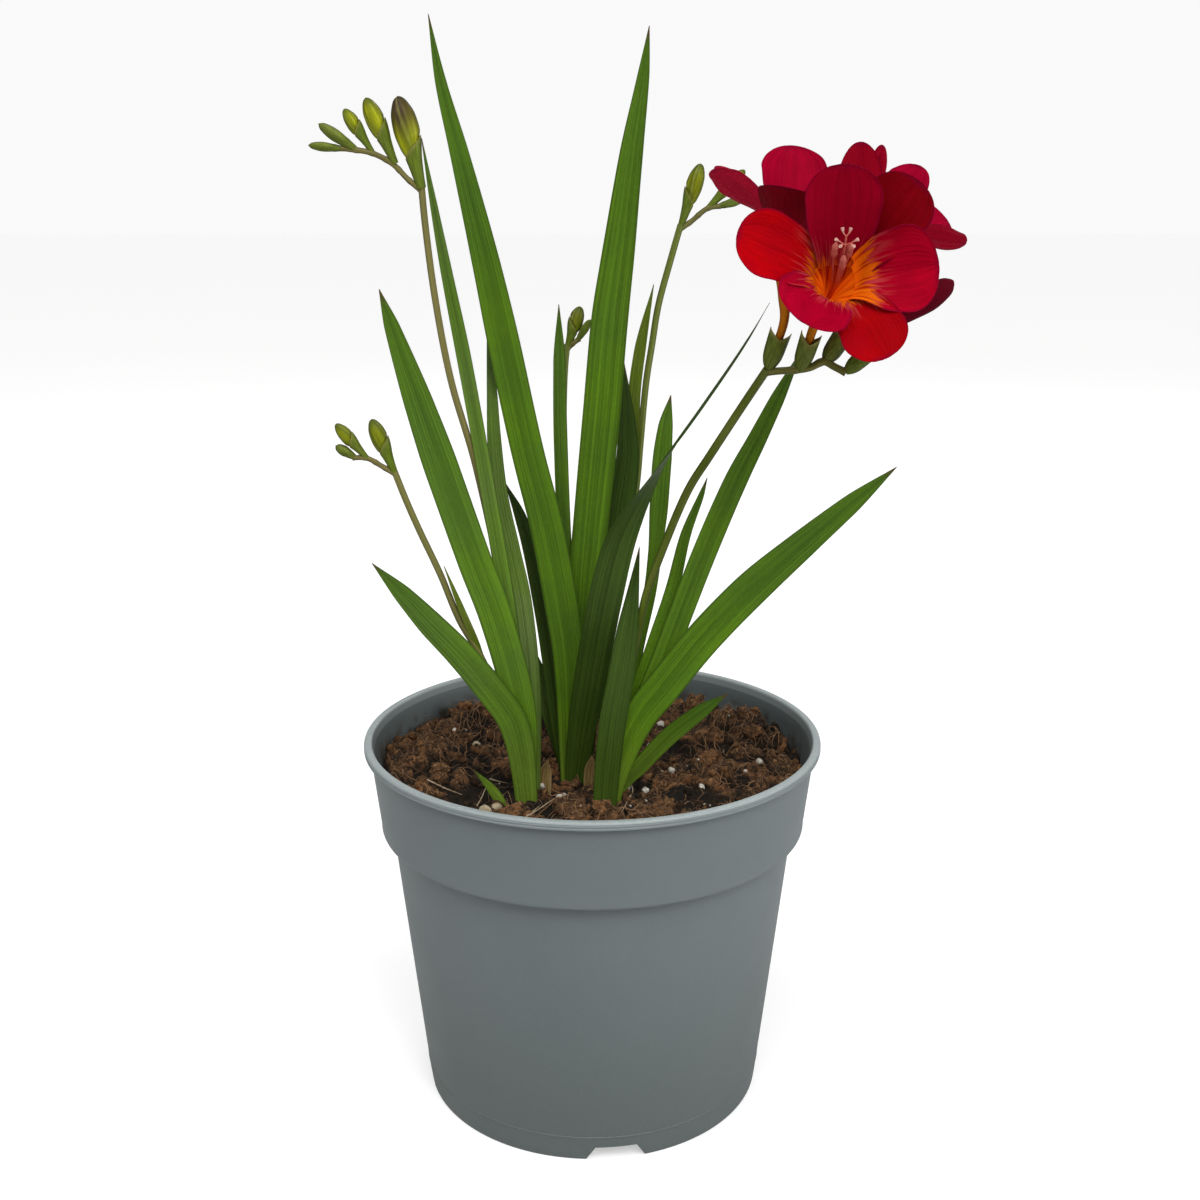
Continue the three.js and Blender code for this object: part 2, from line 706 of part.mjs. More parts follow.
// Budded stems. The stem runs up to its lowest cup, and the rachis on through the others.
const sprays = {
  stem_left_1: {
    stem: [
      [-22.6, -30.3, shootFoot], [-22.8, -30.3, 130], [-29.5, -29, 192], [-39.5, -27.6, 246],
      [-47, -27, 274], [-51.6, -26.5, 301], [-54.3, -26, 326], [-55, -26, 336.6],
    ],
    rachis: [
      [-54.9, -26, 335], [-59.5, -26, 339], [-64, -26, 343.5], [-70.6, -26, 346.9],
      [-77, -26, 348], [-80.5, -26, 348.4],
    ],
    buds: {
      bud_left_1: {
        base: [-55, -26, 336], tip: [-61.7, -26, 364.3],
        radius: 4.2, mouth: [0.36, 0.5], facing: -1,
      },
      bud_left_2: {
        base: [-63.2, -26, 343.6], tip: [-71.8, -27, 363.7],
        radius: 3.1, mouth: [0.42, 0.6], facing: -1,
      },
      bud_left_3: {
        base: [-70.4, -26, 347.2], tip: [-79.1, -25.2, 360.4],
        radius: 2.3, mouth: [0.46, 0.62], facing: -1,
      },
    },
    small: [
      { base: [-75.6, -26, 347.9], tip: [-87.3, -26.3, 355.9], radius: 2.1 },
      { base: [-79.6, -26, 348.2], tip: [-91, -25.8, 349.3], radius: 1.6 },
    ],
  },
  stem_left_2: {
    stem: [
      [-25.6, -30.3, shootFoot], [-26, -30.3, 130], [-34, -30.5, 166], [-39, -30.5, 179],
      [-46, -30.5, 192], [-52, -30.5, 208], [-59, -30, 224], [-63, -30, 234], [-66.6, -30, 244],
    ],
    rachis: [[-66.2, -30, 243], [-71, -30, 246], [-75.7, -30, 248.6], [-80.5, -30, 248.8]],
    buds: {
      bud_left_4: {
        base: [-66.4, -30, 243.4], tip: [-73.7, -30, 261.8],
        radius: 2.9, mouth: [0.42, 0.6], facing: -1,
      },
      bud_left_5: {
        base: [-75.3, -30, 248.2], tip: [-85.6, -30.8, 260.3],
        radius: 2.3, mouth: [0.46, 0.62], facing: -1,
      },
    },
    small: [{ base: [-79.6, -30, 248.8], tip: [-86.2, -29.6, 252.8], radius: 1.9 }],
    stemLeaf: [
      [-37.5, -30.7, 174, 1.6], [-40.5, -31.5, 184, 2.6], [-45.2, -32.6, 197, 2.2],
      [-50.5, -33.4, 212, 0.7],
    ],
  },
  stem_middle_1: {
    stem: [
      [-8.5, -11.6, shootFoot], [-8.5, -11.4, 126], [-9, -7.5, 208], [-10, -5, 258],
      [-9.4, -4, 276], [-8.6, -4, 284],
    ],
    rachis: [[-8.8, -4, 282], [-7, -4.2, 284], [-4.4, -4.8, 286]],
    buds: {
      bud_middle_1: {
        base: [-8.6, -4, 283], tip: [-3.9, -4.6, 297],
        radius: 2.6, mouth: [0.4, 0.66], facing: 1,
      },
    },
    small: [{ base: [-5, -4.6, 285.4], tip: [-0.4, -7.6, 292.8], radius: 1.5 }],
    green: true,
  },
  stem_middle_2: {
    stem: [
      [-5.1, -11.6, shootFoot], [-5, -11.2, 126], [5, -8.4, 171], [12, -6.4, 208], [16, -5, 236],
      [17, -4, 248], [19, -3, 271], [21, -2, 284], [23, -2, 297], [27, -1, 312],
      [30.5, 0, 324.2],
    ],
    rachis: [[30, 0, 322.4], [34, 0, 325.2], [39.6, 0, 329.6], [44, 0, 330.4]],
    buds: {
      bud_middle_2: {
        base: [30.5, 0, 323.6], tip: [37.1, -0.8, 344.3],
        radius: 2.9, mouth: [0.38, 0.56], facing: 1,
      },
      bud_middle_3: {
        base: [39.3, 0, 329.3], tip: [52.2, 1, 342.2],
        radius: 2.3, mouth: [0.46, 0.62], facing: 1,
      },
    },
    small: [{ base: [43, 0, 330.2], tip: [52, -0.4, 332.6], radius: 1.6 }],
    stemLeaf: [
      [16.4, -4.6, 240, 2], [14.6, -5.6, 262, 4.4], [16.6, -6.2, 282, 4], [21.2, -6, 304.5, 0.7],
    ],
    green: true,
  },
};

// The arched flower stem carries its open flowers and last bud on a level rachis
const bloomStem = {
  stem: [
    [5, -33.3, shootFoot], [5, -33.3, 130], [10, -33, 160], [15.4, -32.7, 186],
    [18.4, -34.6, 202], [22.6, -38.6, 216], [31.6, -46, 241], [38, -51, 253],
    [48.6, -57, 271.6], [54.4, -60.6, 281.6],
  ],
  rachis: [
    [53.6, -60.2, 280.6], [58, -61.4, 281.2], [63.6, -62, 281.6], [67.6, -62.4, 282.4],
    [71.6, -62.6, 284.2], [75, -63.4, 282.6], [78.4, -64, 281],
  ],
  rachisRadius: 1.15,
  cups: [
    { base: [54.6, -60.7, 281.4], top: [58, -59.2, 291.6], mouthRadius: 3.2, rise: 2 },
    { base: [64.2, -62, 281], top: [66.9, -63.6, 291.2], mouthRadius: 3, rise: 2 },
    { base: [72, -62.5, 284], top: [77.2, -58.6, 290.8], mouthRadius: 3, rise: 1.6 },
    { base: [78.2, -64, 281], top: [84.2, -64, 286.4], mouthRadius: 2.6, rise: 1.6 },
  ],
};

function makeSpray(name, { stem, rachis, buds, small, stemLeaf, green }) {
  const pieces = [tube(stem, stemRadius, 12), tube(rachis, rachisRadius, 5)];
  Object.values(buds).forEach((bud) => pieces.push(wrappedCup(bud)));
  small.forEach(({ base, tip, radius }) => pieces.push(greenBud(base, tip, radius)));
  if (stemLeaf) {
    pieces.push(blade({ stations: stemLeaf, fold: 0 }));
  }
  addMesh(object, name, fuse(pieces), green ? colours.greenStem : colours.stem);
  Object.entries(buds).forEach(([budName, bud]) => {
    addMesh(object, budName, cuppedBud(bud), colours.bud, 0.45);
  });
}

function makeBloomStem(name) {
  const pieces = [
    tube(bloomStem.stem, flowerStemRadius, 16),
    tube(bloomStem.rachis, bloomStem.rachisRadius, 8),
    ...bloomStem.cups.map(bractCup),
  ];
  addMesh(object, name, fuse(pieces), colours.stem);
}

// Flowers. Each is drawn in its own frame: the middle of its throat is the origin, +Z
// looks out of the flower and +Y is its upper side.
const flowers = {
  flower_1: {
    cup: 0,
    throat: [62.2, -47, 323.4],
    axis: [0.1, -0.22, 0.95],
    up: [0, 1, 0.2],
    stamenReach: 0.5,
    tepals: [
      { angle: 89, length: 26.8, width: 22.5, spread: 40, inner: true },
      { angle: 152, length: 25, width: 13, spread: 60 },
      { angle: 190, length: 27, width: 13, spread: 56, roll: 40, inner: true },
      { angle: 250, length: 19.5, width: 20, spread: 34 },
      { angle: 312, length: 21, width: 18, spread: 34, inner: true },
      { angle: 30, length: 18, width: 16, spread: 18 },
    ],
  },
  flower_2: {
    cup: 1,
    throat: [73, -73, 309.5],
    axis: [0, -0.9, 0.42],
    up: [0, 0.42, 0.9],
    stamenReach: 1,
    tepals: [
      { angle: 90, length: 28, width: 24, spread: 52, inner: true },
      { angle: 47, length: 29.5, width: 23, spread: 62 },
      { angle: -2, length: 24.6, width: 27, spread: 64, roll: 16, inner: true },
      { angle: -66, length: 24, width: 21, spread: 78 },
      { angle: -128, length: 19.2, width: 25.5, spread: 56, inner: true },
      { angle: 166, length: 29, width: 22, spread: 64 },
    ],
  },
  flower_3: {
    cup: 2,
    throat: [89, -37, 321],
    axis: [0.25, -0.12, 0.95],
    up: [-0.2, 0.95, 0.1],
    stamenReach: 0.72,
    tepals: [
      { angle: 107, length: 28.8, width: 15, spread: 24, roll: -25, inner: true },
      { angle: 83, length: 29.5, width: 6, spread: 24 },
      { angle: 8, length: 22, width: 18, spread: 68, roll: 32, inner: true },
      { angle: -54, length: 26.5, width: 13, spread: 82, roll: 34 },
      { angle: -115, length: 21, width: 18, spread: 46, inner: true },
      { angle: 46, length: 27.5, width: 15.5, spread: 30 },
    ],
  },
};

const flareAngle = 26;

// A tepal's centre line leaves the throat's rim at the flare angle, and bends out to its
// spread. Across it, it is curved round the throat at its foot and flatter further out,
// and it may roll about its own line.
function tepalGrid({ angle, length, width, spread, roll = 0, inner }) {
  const shares = [-0.1, 0.12, 0.38, 0.64, 0.86, 1];
  const widthShares = [0.46, 0.62, 0.92, 1, 0.76, 0.24];
  const columns = width > 18 ? 4 : 3;
  const out = vec(Math.cos(degrees(angle)), Math.sin(degrees(angle)), 0);
  const side = vec(-out.y, out.x, 0);
  let radius = throatRadius - (inner ? 0.9 : 0);
  let height = 0;
  const grid = [];
  shares.forEach((share, i) => {
    const bend = THREE.MathUtils.smoothstep(share, 0, 0.55);
    const lean = degrees(THREE.MathUtils.lerp(flareAngle, spread, bend));
    const step = (i === 0 ? share : share - shares[i - 1]) * length;
    const reach = i === 1 ? share * length - shares[0] * length : step;
    radius += Math.sin(lean) * reach;
    height += Math.cos(lean) * reach;
    const round = THREE.MathUtils.lerp(throatRadius, 26, Math.max(share, 0));
    const upright = out.clone().multiplyScalar(-Math.cos(lean)).add(vec(0, 0, Math.sin(lean)));
    const rolled = degrees(roll) * THREE.MathUtils.smoothstep(share, 0, 0.5);
    const across = side
      .clone()
      .multiplyScalar(Math.cos(rolled))
      .addScaledVector(upright, Math.sin(rolled));
    const normal = upright
      .multiplyScalar(Math.cos(rolled))
      .addScaledVector(side, -Math.sin(rolled));
    const centre = out.clone().multiplyScalar(radius).add(vec(0, 0, height));
    const row = [];
    for (let j = 0; j <= columns; j++) {
      const swing = ((1 - (2 * j) / columns) * 0.5 * width * widthShares[i]) / round;
      row.push(centre.clone()
        .addScaledVector(across, -round * Math.sin(swing))
        .addScaledVector(normal, round * (1 - Math.cos(swing))));
    }
    grid.push(row);
  });
  return grid;
}

// A flower's tube, from inside its cup up to its throat
const tubePath = (seat) => new THREE.CatmullRomCurve3([
  seat.foot,
  seat.mouth,
  seat.mouth.clone().lerp(vec(0, 0, -throatDepth), 0.6).addScaledVector(seat.lean, 1.5),
  vec(0, 0, -0.55 * throatDepth),
  vec(0, 0, 0),
]);

// The tube leaves the cup thin, and opens as a funnel into the throat
function funnel(path) {
  const sides = 9;
  const ring = (share, radius) => {
    const centre = path.getPointAt(share);
    const along = path.getTangentAt(share);
    const right = vec(0, 1, 0).cross(along).normalize();
    const back = along.clone().cross(right);
    return anglesOf(sides).map((angle) => centre.clone()
      .addScaledVector(right, radius * Math.cos(angle))
      .addScaledVector(back, radius * Math.sin(angle)));
  };
  const thin = 1.5;
  return loft([
    ring(0, 0.8 * thin),
    ring(0.3, thin),
    ring(0.5, 1.35 * thin),
    ring(0.66, 0.4 * throatRadius),
    ring(0.84, 0.72 * throatRadius),
    ring(1, throatRadius),
    ring(1, throatRadius - 0.95),
    ring(0.84, 0.72 * throatRadius - 0.95),
    ring(0.68, 0.43 * throatRadius - 0.9),
    ring(throatFloor, 1.6),
  ]);
}

// Three stamens joined at the foot of a style whose branches spread. They rise from the
// throat's floor, and lean to the upper side of the flower. Their reach out of the throat
// is a share of the longest.
function stamenGeometry(path, reach) {
  const cord = (points, radius) => tube(points, radius, points.length, 4);
  const around = (angle, radius, lean, height) => [
    radius * Math.cos(degrees(angle)),
    radius * Math.sin(degrees(angle)) + reach * lean,
    reach * height,
  ];
  const root = path
    .getPointAt(throatFloor)
    .addScaledVector(path.getTangentAt(throatFloor), 1.5 * clearance);
  const neck = path.getPointAt(0.8);
  const style = [root.toArray(), neck.toArray(), around(0, 0, 1.4, 2), around(0, 0, 4.4, 15.5)];
  const pieces = [cord(style, 0.5)];
  [30, 150, 270].forEach((angle) => {
    const [foot, bend] = [root, neck].map((point, i) => (
      point.clone().add(vec(...around(angle, 0.4 + 0.5 * i, 0, 0))).toArray()
    ));
    pieces.push(cord([foot, bend, around(angle, 1.7, 1.2, 1), around(angle, 2.6, 2.9, 8)], 0.45));
    pieces.push(turned(
      [[0, 0], [0.85, 0.15], [0.85, 0.75], [0, 1]],
      around(angle, 2.4, 2.7, 6.4),
      around(angle, 3.1, 5, 13),
      4,
    ));
    const branch = angle + 60;
    const fork = [
      around(branch, 0, 4.4, 14.6),
      around(branch, 1.3, 4.9, 16.6),
      around(branch, 3.2, 5.4, 17.8),
    ];
    pieces.push(cord(fork, 0.42));
  });
  return fuse(pieces);
}

function makeFlower(name, { cup, throat, axis, up, tepals, stamenReach }, index) {
  const frame = new THREE.Group();
  const outward = vec(...axis).normalize();
  const right = vec(...up).cross(outward).normalize();
  const upper = outward.clone().cross(right);
  frame.applyMatrix4(new THREE.Matrix4().makeBasis(right, upper, outward).setPosition(...throat));
  frame.updateMatrixWorld();
  const cupSize = bloomStem.cups[cup];
  const base = frame.worldToLocal(vec(...cupSize.base));
  const top = frame.worldToLocal(vec(...cupSize.top));
  const seat = {
    foot: base.clone().lerp(top, 0.5),
    mouth: base.clone().lerp(top, 1.4),
    lean: top.clone().sub(base).normalize(),
  };
  const path = tubePath(seat);
  const pieces = [funnel(path), ...tepals.map((tepal) => sheet(tepalGrid(tepal), tepalThickness))];
  addMesh(frame, name, fuse(pieces), colours.petal, 0.5);
  addMesh(frame, `stamens_${index + 1}`, stamenGeometry(path, stamenReach), colours.stamen);
  object.add(frame);
}

// The last bud of the spray is coloured but shut
function makeBloomBud() {
  const cup = bloomStem.cups[3];
  const foot = vec(...cup.base).lerp(vec(...cup.top), 0.5);
  const neck = [foot.toArray(), [85.6, -63.9, 287.7], [90.5, -61.5, 292.6], [95.4, -58.4, 297.4]];
  const body = turned(
    [[0, 0], [1.7, 0.02], [3.1, 0.3], [3.9, 0.58], [3.2, 0.82], [1.4, 0.96], [0, 1]],
    [93.6, -58.8, 295.8],
    [111.4, -58, 308.4],
    9,
  );
  addMesh(object, 'flower_bud', fuse([tube(neck, 1.4, 6, 8), body]), colours.darkBud, 0.45);
}

makePot();
makeSoil();
Object.entries(shoots).forEach(([side, place]) => makeCorm(`corm_${side}`, place));
Object.entries(leaves).forEach(([name, leaf]) => makeLeaf(name, leaf));
Object.entries(sprays).forEach(([name, spray]) => makeSpray(name, spray));
makeBloomStem('stem_right_1');
Object.entries(flowers).forEach(([name, flower], index) => makeFlower(name, flower, index));
makeBloomBud();

export default object;
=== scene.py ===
import math

import bpy
import numpy as np
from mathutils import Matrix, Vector, noise


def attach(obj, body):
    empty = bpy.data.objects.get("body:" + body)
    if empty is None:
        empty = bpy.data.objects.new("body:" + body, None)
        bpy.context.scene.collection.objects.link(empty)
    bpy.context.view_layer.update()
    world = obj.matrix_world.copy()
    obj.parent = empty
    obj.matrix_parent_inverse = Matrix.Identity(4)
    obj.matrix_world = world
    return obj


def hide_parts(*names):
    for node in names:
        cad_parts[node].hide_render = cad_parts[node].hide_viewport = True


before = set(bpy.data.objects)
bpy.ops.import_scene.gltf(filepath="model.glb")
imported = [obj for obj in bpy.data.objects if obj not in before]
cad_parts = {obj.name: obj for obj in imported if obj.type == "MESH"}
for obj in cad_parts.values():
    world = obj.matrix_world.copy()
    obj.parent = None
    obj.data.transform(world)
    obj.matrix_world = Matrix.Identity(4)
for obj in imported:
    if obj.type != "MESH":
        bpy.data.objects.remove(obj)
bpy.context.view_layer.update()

# Points are in millimetres here, as in the drawing, and pieces are made in metres
mm = 0.001
soilLevel = 127
footLevel = 101.3  # where leaves and stems start in the soil
dice = np.random.default_rng(41)


def mix(low, high, share):
    return low + (high - low) * share


def ease(low, high, value):
    share = np.clip((value - low) / (high - low), 0, 1)
    return share * share * (3 - 2 * share)


def evenly(count):
    return np.linspace(0, 1, count)


def turns(count):
    return np.linspace(0, 2 * np.pi, count, endpoint=False)


def unit(vectors):
    return vectors / np.linalg.norm(vectors, axis=-1, keepdims=True)


# A smooth curve through points, and its direction, at shares from 0 to 1
def curveAt(points, shares):
    points = np.asarray(points, float)
    last = len(points) - 1
    place = np.clip(np.atleast_1d(shares), 0, 1) * last
    index = np.minimum(np.floor(place).astype(int), last - 1)
    weight = (place - index)[:, None]
    ends = np.vstack([2 * points[0] - points[1], points, 2 * points[-1] - points[-2]])
    p0, p1, p2, p3 = (ends[index + step] for step in range(4))
    gaps = [((a - b) ** 2).sum(axis=1, keepdims=True) ** 0.25 for a, b in ((p0, p1), (p1, p2), (p2, p3))]
    d1 = np.where(gaps[1] < 1e-4, 1, gaps[1])
    d0, d2 = (np.where(gap < 1e-4, d1, gap) for gap in gaps[::2])
    start = ((p1 - p0) / d0 - (p2 - p0) / (d0 + d1) + (p2 - p1) / d1) * d1
    end = ((p2 - p1) / d1 - (p3 - p1) / (d1 + d2) + (p3 - p2) / d2) * d1
    square = -3 * p1 + 3 * p2 - 2 * start - end
    cube = 2 * p1 - 2 * p2 + start + end
    return p1 + start * weight + square * weight ** 2 + cube * weight ** 3


def directionAt(points, shares):
    shares = np.atleast_1d(shares)
    return unit(curveAt(points, shares + 1e-4) - curveAt(points, shares - 1e-4))


# Where shares of a curve's length lie on it
def evenShares(points, wanted):
    marks = evenly(201)
    steps = np.linalg.norm(np.diff(curveAt(points, marks), axis=0), axis=1)
    run = np.concatenate([[0], np.cumsum(steps)])
    return np.interp(np.asarray(wanted) * run[-1], run, marks)


# Sideways directions that don't twist along a line
def sideways(along):
    sides = []
    side = np.array([0.13, -0.9, 0.4])
    for direction in along:
        side = side - direction * side.dot(direction)
        side = side / np.linalg.norm(side)
        sides.append(side)
    return np.array(sides), np.cross(along, sides)


# Directions from the middle of a ring out to its corners
def spokes(right, back, angle):
    return right * np.cos(angle)[..., None] + back * np.sin(angle)[..., None]


# Level directions out from an upright axis at an angle in degrees, and sideways from there
def outAndSide(degrees):
    turn = math.radians(degrees)
    out = np.array([math.cos(turn), math.sin(turn), 0.0])
    return out, np.array([-out[1], out[0], 0.0])


# Repeats a ring's first corner at its end
def closeRing(values):
    return np.concatenate([values, values[:, :1]], axis=1)


# The four corners of each square of a grid
def squares(grid):
    return np.stack([grid[:-1, :-1], grid[:-1, 1:], grid[1:, 1:], grid[1:, :-1]], axis=2)


def linked(name, data):
    thing = bpy.data.objects.new(name, data)
    bpy.context.collection.objects.link(thing)
    return thing


# Gathers the skins of one piece. Each corner carries three pairs of numbers for its
# material: span (across, along), tone and marks.
class SkinPile:
    def __init__(self):
        self.points = []
        self.faces = []
        self.corners = []
        self.count = 0

    def addPoints(self, points):
        points = np.asarray(points, float).reshape(-1, 3)
        self.points.append(points)
        self.count += len(points)
        return self.count - len(points)

    def addFaces(self, faces, corners):
        faces = np.asarray(faces, int)
        self.faces.extend(faces.reshape(-1, faces.shape[-1]).tolist())
        self.corners.append(np.asarray(corners, float).reshape(-1, 6))

    # Rings one after another, closed round, with a fan over each end
    def addLoft(self, rings, data, capped=True):
        rings = np.asarray(rings, float)
        rows, count = rings.shape[:2]
        index = closeRing(self.addPoints(rings) + np.arange(rows * count).reshape(rows, count))
        self.addFaces(squares(index), squares(data))
        for row, step in ((0, -1), (rows - 1, 1)) if capped else ():
            hub = np.full(count, self.addPoints(rings[row].mean(axis=0)))
            centre = np.tile(data[row].mean(axis=0), (count, 1))
            ends = [(index[row, :-1], data[row, :-1]), (index[row, 1:], data[row, 1:])]
            (left, leftData), (right, rightData) = ends[::step]
            fan = np.stack([hub, left, right], axis=-1)
            self.addFaces(fan, np.stack([centre, leftData, rightData], axis=1))

    # A thin closed sheet round a grid of points, whose rows run along it
    def addSheet(self, grid, thickness, data, back=None):
        back = data if back is None else back
        normal = unit(np.cross(np.gradient(grid, axis=1), np.gradient(grid, axis=0)))
        normal = normal * (np.asarray(thickness) / 2)[..., None]
        rings = np.concatenate([grid + normal, (grid - normal)[:, ::-1]], axis=1)
        rows, columns = grid.shape[:2]
        first = self.count
        self.addLoft(rings, np.concatenate([data, back[:, ::-1], data[:, :1]], axis=1), capped=False)
        for row, step in ((0, 1), (rows - 1, -1)):
            left = first + row * 2 * columns + np.arange(columns - 1)
            under = first + (row + 1) * 2 * columns - 1 - np.arange(columns - 1)
            quad = np.stack([left, under, under - 1, left + 1], axis=-1)
            edge = np.stack([data[row, :-1], data[row, :-1], data[row, 1:], data[row, 1:]], axis=1)
            self.addFaces(quad[:, ::step], edge[:, ::step])

    def mesh(self, name):
        mesh = bpy.data.meshes.new(name)
        mesh.from_pydata((np.concatenate(self.points) * mm).tolist(), [], self.faces)
        return mesh

    def build(self, name, material, nodes=(), crease=50):
        mesh = self.mesh(name)
        corners = np.concatenate(self.corners)
        for layer, label in enumerate(("span", "tone", "marks")):
            pairs = mesh.uv_layers.new(name=label)
            pairs.data.foreach_set("uv", corners[:, 2 * layer:2 * layer + 2].ravel())
        mesh.shade_smooth()
        mesh.set_sharp_from_angle(angle=math.radians(crease))
        mesh.materials.append(material)
        piece = linked(name, mesh)
        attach(piece, "root")
        if nodes:
            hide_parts(*nodes)
        return piece

    # A piece that stands for one node of the drawing, and is named for it
    def buildFor(self, node, kind, material):
        self.build(node.replace("_", "") + kind, material, [node])


# The numbers of one skin: any of them may vary over it or be plain
def skinData(across, along, tone=(0, 0), marks=(0, 0)):
    return np.stack(np.broadcast_arrays(across, along, *tone, *marks), axis=-1).astype(float)


# A round stem or cord along a curve, with one radius for each of its rings
def addCord(pile, points, radii, sides, tone=(0, 0), marks=(0, 0), firstShare=0):
    shares = evenly(len(radii))
    where = evenShares(points, shares)
    right, back = sideways(directionAt(points, where))
    out = spokes(right[:, None], back[:, None], turns(sides)) * radii[:, None, None]
    data = skinData(evenly(sides + 1)[None], shares[:, None] + firstShare, tone, marks)
    pile.addLoft(curveAt(points, where)[:, None] + out, data)


# Short ways to add nodes to the tree of a group or a material
class Nodes:
    def __init__(self, tree):
        self.tree = tree

    def put(self, value, socket):
        if isinstance(value, bpy.types.NodeSocket):
            self.tree.links.new(value, socket)
        else:
            socket.default_value = (*value, 1) if isinstance(value, tuple) else value

    def add(self, kind, values=None, **settings):
        node = self.tree.nodes.new("ShaderNode" + kind)
        for key, value in settings.items():
            setattr(node, key, value)
        for key, value in (values or {}).items():
            self.put(value, node.inputs[key])
        return node.outputs

    def calc(self, operation, first, second=0.5, clamp=False):
        return self.add("Math", {0: first, 1: second}, operation=operation, use_clamp=clamp)[0]

    def times(self, first, *others):
        for other in others:
            first = self.calc("MULTIPLY", first, other)
        return first

    # Values added up by their shares, and a plain number over them
    def total(self, plain, *parts):
        whole, *others = (self.times(value, share) for value, share in parts)
        for value in (*others, plain):
            whole = self.calc("ADD", whole, value)
        return whole

    def fade(self, value, low, high, start=0, end=1, kind="SMOOTHSTEP"):
        return self.add("MapRange", {0: value, 1: low, 2: high, 3: start, 4: end}, interpolation_type=kind)[0]

    def spread(self, value, start, end, kind="SMOOTHSTEP"):
        return self.fade(value, 0, 1, start, end, kind)

    def blend(self, mask, first, second, kind="MIX"):
        return self.add("Mix", {0: mask, 6: first, 7: second}, data_type="RGBA", blend_type=kind)[2]

    # Lays another colour over the first one, where the mask is
    def coat(self, colour, mask, over, share=1):
        return self.blend(mask if share == 1 else self.times(mask, share), colour, over)

    # A colour made lighter or darker by a number
    def shaded(self, colour, value):
        return self.blend(1, colour, self.add("CombineColor", {0: value, 1: value, 2: value})[0], "MULTIPLY")

    # One pair of a skin's numbers
    def pair(self, label):
        return self.parts(self.add("UVMap", uv_map=label)[0])[:2]

    def parts(self, vector):
        return self.add("SeparateXYZ", {0: vector})[:]

    def place(self):
        return self.add("TexCoord")["Object"]

    def facing(self):
        return self.add("LayerWeight", {"Blend": 0.4})["Facing"]

    def grain(self, vector, scale, detail, roughness=0.5, distortion=0):
        values = {"Vector": vector, "Scale": scale, "Detail": detail, "Roughness": roughness}
        return self.add("TexNoise", {**values, "Distortion": distortion})[0]

    def mottle(self, patchSize, speckSize):
        return self.add("Group", {"Patch Size": patchSize, "Speck Size": speckSize}, node_tree=mottleGroup)

    def fibres(self, lines, waver, rib=0.01, margin=0.01):
        values = {"Lines": lines, "Waver": waver, "Rib": rib, "Margin": margin}
        return self.add("Group", values, node_tree=fibreGroup)


def makeGroup(name, inputs, outputs):
    group = bpy.data.node_groups.new(name, "ShaderNodeTree")
    for label, value in inputs.items():
        group.interface.new_socket(label, in_out="INPUT", socket_type="NodeSocketFloat").default_value = value
    for label in outputs:
        group.interface.new_socket(label, in_out="OUTPUT", socket_type="NodeSocketFloat")
    return Nodes(group), group.nodes.new("NodeGroupInput").outputs, group.nodes.new("NodeGroupOutput").inputs


# Soft patches and fine specks that vary over any surface
def makeMottle():
    inputs = {"Patch Size": 0.02, "Speck Size": 0.001}
    nodes, given, result = makeGroup("mottle", inputs, ("Patches", "Specks"))
    place = nodes.place()
    patches = nodes.grain(place, nodes.calc("DIVIDE", 1, given["Patch Size"]), 3)
    specks = nodes.grain(place, nodes.calc("DIVIDE", 1, given["Speck Size"]), 2, 0.6)
    nodes.put(nodes.fade(patches, 0.3, 0.7), result["Patches"])
    nodes.put(nodes.fade(specks, 0.25, 0.75), result["Specks"])
    return nodes.tree


# Fine lines that run along a blade, petal or bract, with its rib and its margins
def makeFibreLines():
    inputs = {"Lines": 18, "Waver": 1.2, "Rib": 0.03, "Margin": 0.05}
    nodes, given, result = makeGroup("fibreLines", inputs, ("Lines", "Broad Lines", "Rib", "Margin"))
    across, along = nodes.pair("span")
    stretched = nodes.add("CombineXYZ", {
        0: nodes.times(across, given["Lines"]),
        1: nodes.times(along, given["Waver"]),
        2: nodes.times(nodes.pair("tone")[0], 37),
    })[0]
    nodes.put(nodes.fade(nodes.grain(stretched, 1, 1.5), 0.32, 0.68), result["Lines"])
    nodes.put(nodes.fade(nodes.grain(stretched, 0.3, 1), 0.35, 0.65), result["Broad Lines"])
    fromMiddle = nodes.calc("ABSOLUTE", nodes.calc("SUBTRACT", across, 0.5))
    toEdge = nodes.calc("SUBTRACT", 0.5, fromMiddle)
    for label, distance in (("Rib", fromMiddle), ("Margin", toEdge)):
        share = nodes.calc("DIVIDE", distance, given[label])
        nodes.put(nodes.calc("SUBTRACT", 1, share, clamp=True), result[label])
    return nodes.tree


mottleGroup = makeMottle()
fibreGroup = makeFibreLines()


# A material for one finish, with its nodes
class Finish(Nodes):
    def __init__(self, name, specular=0.5):
        self.material = bpy.data.materials.new(name)
        self.material.use_nodes = True
        super().__init__(self.material.node_tree)
        self.shader = self.tree.nodes["Principled BSDF"].inputs
        self.put(specular, self.shader["Specular IOR Level"])

    def done(self, colour, rough, relief, depth, strength=1):
        self.put(colour, self.shader["Base Color"])
        self.put(rough, self.shader["Roughness"])
        bump = self.add("Bump", {"Height": relief, "Distance": depth, "Strength": strength})
        self.put(bump[0], self.shader["Normal"])
        return self.material


